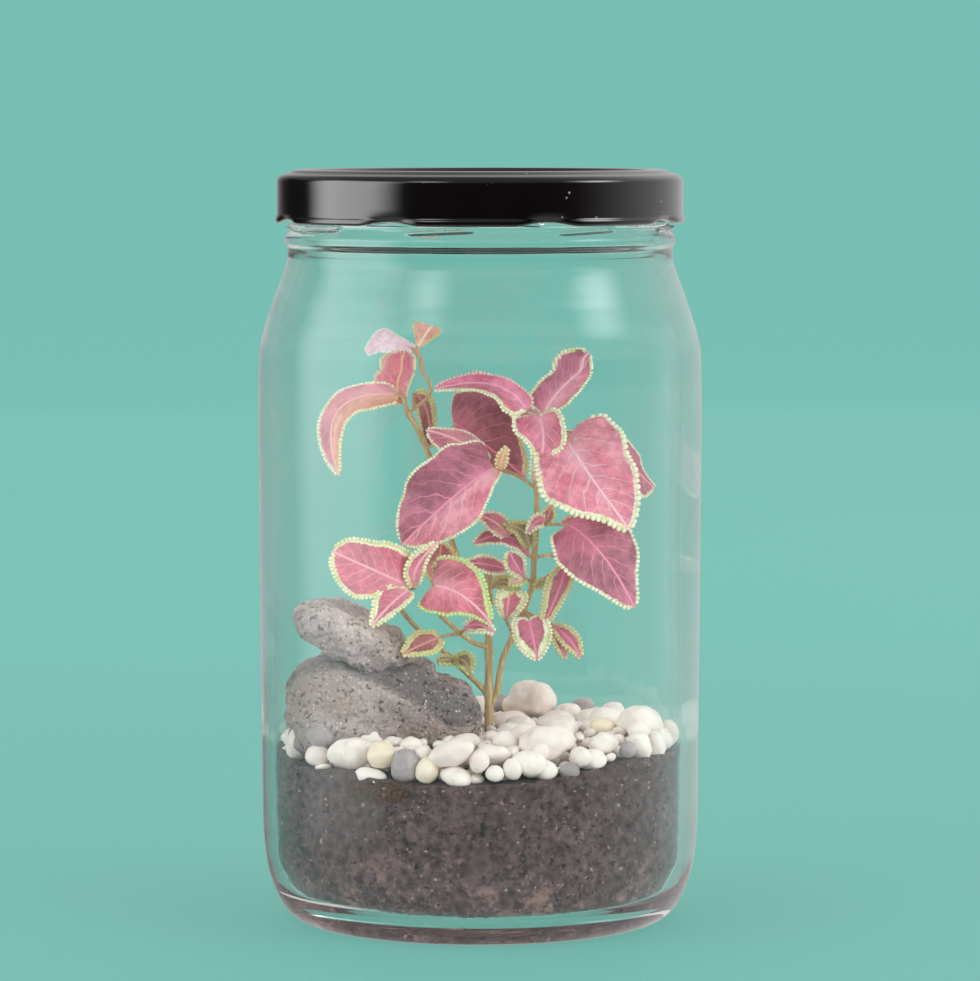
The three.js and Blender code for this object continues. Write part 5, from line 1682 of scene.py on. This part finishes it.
# Stems: places along each, first and last radius; a side shoot starts inside the main stem
STEMS = {
    "shoot_main": ([(2, 0, 32), (2, 0, 55), (2, 0, 69), (2, 0, 88.5)], 1.25, 0.85),
    "shoot_upper_left": (
        [
            (1.8, 0.4, 73.5),
            (1, 1.6, 76),
            (0, 2.4, 78),
            (-2.5, 4, 82.5),
            (-7, 6, 93.5),
            (-10.5, 8, 105),
            (-13, 8, 116),
            (-16, 8, 123),
            (-18.5, 8, 127.5),
        ],
        0.9,
        0.65,
    ),
    "shoot_right": (
        [
            (2.6, 0, 54.5),
            (4.2, 0, 57.5),
            (4.9, 0, 62.5),
            (6, 0, 66.5),
            (8.5, 0, 71.5),
            (11.5, 0, 78.5),
            (13.5, 0, 84.5),
            (14, 0, 91.5),
            (14.5, 0, 97.5),
            (14.5, 0, 106.5),
            (14, 0, 116),
            (14, 0, 125.5),
        ],
        0.9,
        0.65,
    ),
    "shoot_lower_left": (
        [
            (1.5, 0, 56.5),
            (0.1, 0, 58.2),
            (-4, 0.3, 62.3),
            (-8, -0.5, 66.5),
            (-11, -3.4, 69.2),
            (-15.5, -7, 74),
            (-19.5, -11, 80),
            (-18, -14, 85.5),
        ],
        0.75,
        0.55,
    ),
    "shoot_mid_left": (
        [
            (1.8, -0.2, 68.3),
            (0.85, -1.05, 69),
            (-1.5, -4, 70),
            (-5, -8, 73),
            (-8, -11, 76),
            (-10, -13, 78.5),
            (-11, -15, 82),
            (-12, -17, 86.5),
        ],
        0.7,
        0.5,
    ),
}
# Side twigs that carry two or more leaves
TWIGS = {
    "shoot_right": [(14, 0, 109.5), (10.5, -1, 112), (7.5, -2, 113.5), (3.5, -4, 114.5)],
    "shoot_upper_left": [
        (-18, 8, 127.5),
        (-13.5, 8.5, 131.5),
        (-13, 8, 135),
        (-16, 7, 140.5),
        (-17.5, 7, 141.5),
    ],
}


def widths_at(share, widths):
    """Half width along the midrib through the given ones, closing round at the base and the tip."""
    places = [(s, w, 0) for s, w in zip(np.linspace(0, 1, len(widths)), widths)]
    line = smooth_path(places, 8)
    ends = np.sqrt(np.clip(share / 0.05, 0, 1) * np.clip((1 - share) / 0.05, 0, 1))
    return np.maximum(np.interp(share, line[:, 0], line[:, 1]) * ends, 0.03)


def midrib(base, crest, tip, share):
    """Places and directions along the quadratic curve through base, crest and tip."""
    first, middle, last = (np.array(p, float) for p in (base, crest, tip))
    control = 2 * middle - 0.5 * first - 0.5 * last
    t = np.asarray(share, float)[..., None]
    place = (1 - t) ** 2 * first + 2 * t * (1 - t) * control + t**2 * last
    along = unit(2 * (1 - t) * (control - first) + 2 * t * (last - control))
    return place, along


def blade_faces(rows, columns):
    """Faces of a closed blade: an upper grid, a lower one after it, and a rim between them."""
    faces = []
    below = rows * columns
    for i in range(rows - 1):
        for j in range(columns - 1):
            p = i * columns + j
            q = p + columns
            faces.append((p + 1, q + 1, q, p))
            faces.append((below + q, below + q + 1, below + p + 1, below + p))
    rim = [i * columns for i in range(rows)]
    rim += [(rows - 1) * columns + j for j in range(1, columns)]
    rim += [i * columns + columns - 1 for i in range(rows - 2, -1, -1)]
    rim += [j for j in range(columns - 2, 0, -1)]
    for p, q in zip(rim, rim[1:] + rim[:1]):
        faces.append((below + q, below + p, p, q))
    return faces


def blade_grid(blade):
    """A blade's points, laid flat: shares along and across it, half width, and how far aside, ahead and back
    from the midrib's own place each point lies."""
    base, _, tip = blade["midrib"]
    length = float(np.linalg.norm(np.subtract(tip, base)))
    widest = max(*blade["left"], *blade["right"])
    steps = int(np.clip(length / 0.17, 36, 170) * blade["fine"])
    cells_aside = int(np.clip(widest, 5, 11) * blade["fine"])
    share = np.linspace(0, 1, steps + 1)
    across = np.sin(np.linspace(-0.5, 0.5, 2 * cells_aside + 1) * math.pi)  # closer together at the edges
    halves = [widths_at(share, blade[side])[:, None] for side in ("left", "right")]
    half = np.where(across[None, :] < 0, *halves)
    aside = across[None, :] * half
    part_out = np.abs(aside) / widest
    lobe = part_out * (1.6 - part_out) / 0.64  # round, and longest at 0.8 of the width
    back = blade["lobe"] * lobe * np.exp(-share[:, None] / 0.12)
    ahead = share[:, None] * length - back
    return share, across, half, aside, ahead, back


def bead_ball():
    """Points and faces of a coarse ball of radius 1."""
    sides = 8
    points = [(0, 0, 1)]
    for tilt in (0.87, 0.0, -0.87):
        for k in range(sides):
            turn = 2 * math.pi * k / sides
            points.append((math.cos(tilt) * math.cos(turn), math.cos(tilt) * math.sin(turn), math.sin(tilt)))
    points.append((0, 0, -1))
    last = len(points) - 1
    faces = []
    for k in range(sides):
        after = (k + 1) % sides
        faces.append((0, 1 + k, 1 + after))
        for upper in (1, 1 + sides):
            lower = upper + sides
            faces.append((upper + k, lower + k, lower + after, upper + after))
        faces.append((last, last - sides + after, last - sides + k))
    return np.array(points, float), faces


def leaf_beads(blade, middle, out, share, seed):
    """Round teeth along both edges of a blade, as flattened balls: points, faces, shares and sides."""
    ball, ball_faces = bead_ball()
    draw = random.Random(seed)
    points = []
    faces = []
    shares = []
    sides = []
    for side, column in enumerate((0, -1)):
        line = middle[:, column]
        arc = np.concatenate([[0], np.cumsum(np.linalg.norm(np.diff(line, axis=0), axis=1))])
        along = unit(np.gradient(line, axis=0))
        for place in np.arange(0.5 * blade["bead"], arc[-1], blade["bead"]):
            i = int(np.argmin(np.abs(arc - place)))
            if not 0.03 < share[i] < 0.985:
                continue
            leftward = unit(np.cross(out[i], along[i]))
            outward = -leftward if side else leftward
            flat_out = np.cross(along[i], leftward)
            girth = blade["bead"] * draw.uniform(0.42, 0.52)
            axes = np.array([along[i] * girth, leftward * girth * 1.05, flat_out * min(TOOTH_HALF, girth)])
            faces.extend(tuple(len(points) * len(ball) + k for k in face) for face in ball_faces)
            points.append(line[i] + outward * TOOTH_OUT * blade["bead"] + ball @ axes)
            shares.append(share[i])
            sides.append(side)
    return np.vstack(points), faces, np.repeat(shares, len(ball)), np.repeat(sides, len(ball))


def leaf_shape(blade, seed):
    """Points, faces and values of one closed blade and the round teeth along its edge."""
    share, across, half, aside, ahead, back = blade_grid(blade)
    place, along = midrib(*blade["midrib"], share)
    sideways = unit(np.cross(along, unit(blade["face"])))
    out = unit(np.cross(sideways, along))
    a = np.abs(across)[None, :] * np.ones_like(half)
    s = share[:, None] * np.ones_like(half)
    on_left = across[None, :] < 0
    reach = np.abs(aside)

    vein = (s - VEIN_SLANT * a**VEIN_BEND * (1 - VEIN_DROOP * s)) * VEIN_PAIRS
    off_vein = np.abs(vein - np.floor(vein) - 0.5)
    quilt = 0.03 * half * np.cos(math.pi * off_vein * 2) * soft_step(0.02, 0.2, a) * soft_step(1.0, 0.8, a)
    ripple = 0.06 * half * a**3 * np.sin(2 * math.pi * 3.4 * s + seed * 2.1)
    lift = blade["fold"] * reach + WAVE * half * a**2 * np.cos(3 * math.pi * s) - quilt + ripple
    middle = place[:, None, :] + sideways[:, None, :] * aside[..., None] + out[:, None, :] * lift[..., None]
    middle = middle - along[:, None, :] * back[..., None]
    thick = BLADE * (1 - 0.5 * a**4)
    keel = 0.3 * soft_step(0.5, 0.0, reach) * soft_step(1.0, 0.2, s)
    upper = middle + out[:, None, :] * (thick / 2)[..., None]
    lower = middle - out[:, None, :] * (thick / 2 + keel)[..., None]
    teeth, tooth_faces, tooth_share, tooth_side = leaf_beads(blade, middle, out, share, seed)
    points = np.vstack([upper.reshape(-1, 3), lower.reshape(-1, 3), teeth])
    faces = blade_faces(*half.shape)
    faces.extend(tuple(2 * a.size + k for k in face) for face in tooth_faces)

    outline = np.vstack([np.stack([aside[:, k], ahead[:, k]], axis=-1) for k in (0, -1)])
    spots = np.stack([aside, ahead], axis=-1).reshape(-1, 2)
    edge = np.array([np.hypot(*(outline - spot).T).min() for spot in spots]).reshape(a.shape)
    left_base, left_tip, right_base, right_tip = blade["rims"]
    left_rim = left_base + (left_tip - left_base) * s
    right_rim = right_base + (right_tip - right_base) * s
    margin = np.minimum(np.where(on_left, left_rim, right_rim), 0.55 * half)
    tints = [[np.array(tint(*colour)) for colour in LOOKS[look]] for look in blade["looks"]]

    def everywhere(grid, on_teeth):
        """A value for the upper points, the lower ones and the teeth."""
        flat = grid.reshape(-1, *grid.shape[2:])
        return np.concatenate([flat, flat, on_teeth * np.ones((len(teeth), *flat.shape[1:]))])

    values = {
        "across": everywhere(a, 1.0),
        "along": everywhere(s, tooth_share),
        "edge": everywhere(edge, 0.0),
        "off_midrib": everywhere(reach, 5.0),
        "under": np.concatenate([np.repeat([0.0, 1.0], a.size), np.zeros(len(teeth))]),
        "margin": everywhere(margin, ALL_MARGIN),
    }
    for k, name in enumerate(("blade_tint", "second_tint", "vein_tint", "margin_tint")):
        left_tint, right_tint = tints[0][k], tints[1][k]
        grid = np.where(on_left[..., None], left_tint, right_tint) * np.ones_like(a)[..., None]
        values[name] = everywhere(grid, np.where(tooth_side[:, None], right_tint, left_tint))
    return points, faces, values


def nearest_on(lines, wanted):
    """The point of any of the lines that lies closest to the wanted one."""
    every = np.vstack(lines)
    return every[np.argmin(np.linalg.norm(every - np.array(wanted), axis=1))]


def knotted(line, first, last, knots):
    """Radii along a stem, thicker round the places where something grows from it."""
    radii = np.linspace(first, last, len(line))
    swell = np.zeros(len(line))
    for knot in knots:
        distance = np.linalg.norm(line - np.array(knot), axis=1)
        swell = np.maximum(swell, KNOT_SWELL * np.exp(-((distance / KNOT_REACH) ** 2)))
    return radii * (1 + swell)


def stalk_shape(blade, lines):
    """A leaf stalk from the nearest line into the underside of its blade, thinner towards its end."""
    under, _ = midrib(*blade["midrib"], [0.04, 0.12, 0.3])
    under[:, 2] -= STALK_SAG
    stalk = smooth_path([nearest_on(lines, blade["root"]), blade["midrib"][0], *under], 8)
    radii = STALK_R * np.interp(np.arange(len(stalk)), [0, 4, 12, len(stalk) - 1], [1.3, 1.0, 0.9, 0.3])
    return tube_shape(stalk, radii, 10)


def add_stem(name, leaves, finish):
    """A shoot's stem with its twig and leaf stalks; flush is how red the skin of each is."""
    path, first, last = STEMS[name]
    line = smooth_path(path, 10)
    lines = [line]
    knots = [nearest_on(lines, blade["root"]) for blade in leaves if blade["root"]]
    if name == "shoot_main":
        knots += [(STEM_X, STEM_Y, z) for z in STEM_KNOTS]
    shapes = [tube_shape(line, knotted(line, first, last, knots), 16)]
    flush = [0.15]
    if name in TWIGS:
        twig = smooth_path(TWIGS[name], 8)
        lines.append(twig)
        shapes.append(tube_shape(twig, np.full(len(twig), STALK_R * 1.1), 10))
        flush.append(0.5)
    for blade in leaves:
        if blade["root"]:
            shapes.append(stalk_shape(blade, lines))
            flush.append(0.7)
    stem = new_piece(f"{name}_stem", *merged(shapes), finish)
    add_values(stem, "flush", np.repeat(flush, [len(points) for points, _ in shapes]))
    dress(stem, "jar", name)


def add_leaves(name, leaves, finish, number):
    """A shoot's blades; the seed of each comes from the shoot's number and its own."""
    blades = [leaf_shape(blade, number * 3.1 + i * 0.77) for i, blade in enumerate(leaves)]
    foliage = new_piece(f"{name}_leaves", *merged([b[:2] for b in blades]), finish)
    for label in blades[0][2]:
        add_values(foliage, label, np.concatenate([b[2][label] for b in blades]))
    dress(foliage, "jar", name)


def add_plant():
    finish_stem = stem_material()
    finish_leaf = leaf_material()
    for number, (name, leaves) in enumerate(LEAVES.items()):
        add_stem(name, leaves, finish_stem)
        add_leaves(name, leaves, finish_leaf, number)


def dress(piece, body, node_name):
    """The piece rides on its body and stands for its construction node."""
    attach(piece, body)
    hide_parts(node_name)


add_camera()
add_stage()
add_lights()
add_jar()
add_lid()
add_seal()
add_soil()
add_crumbs()
add_rocks()
add_pebbles()
add_plant()
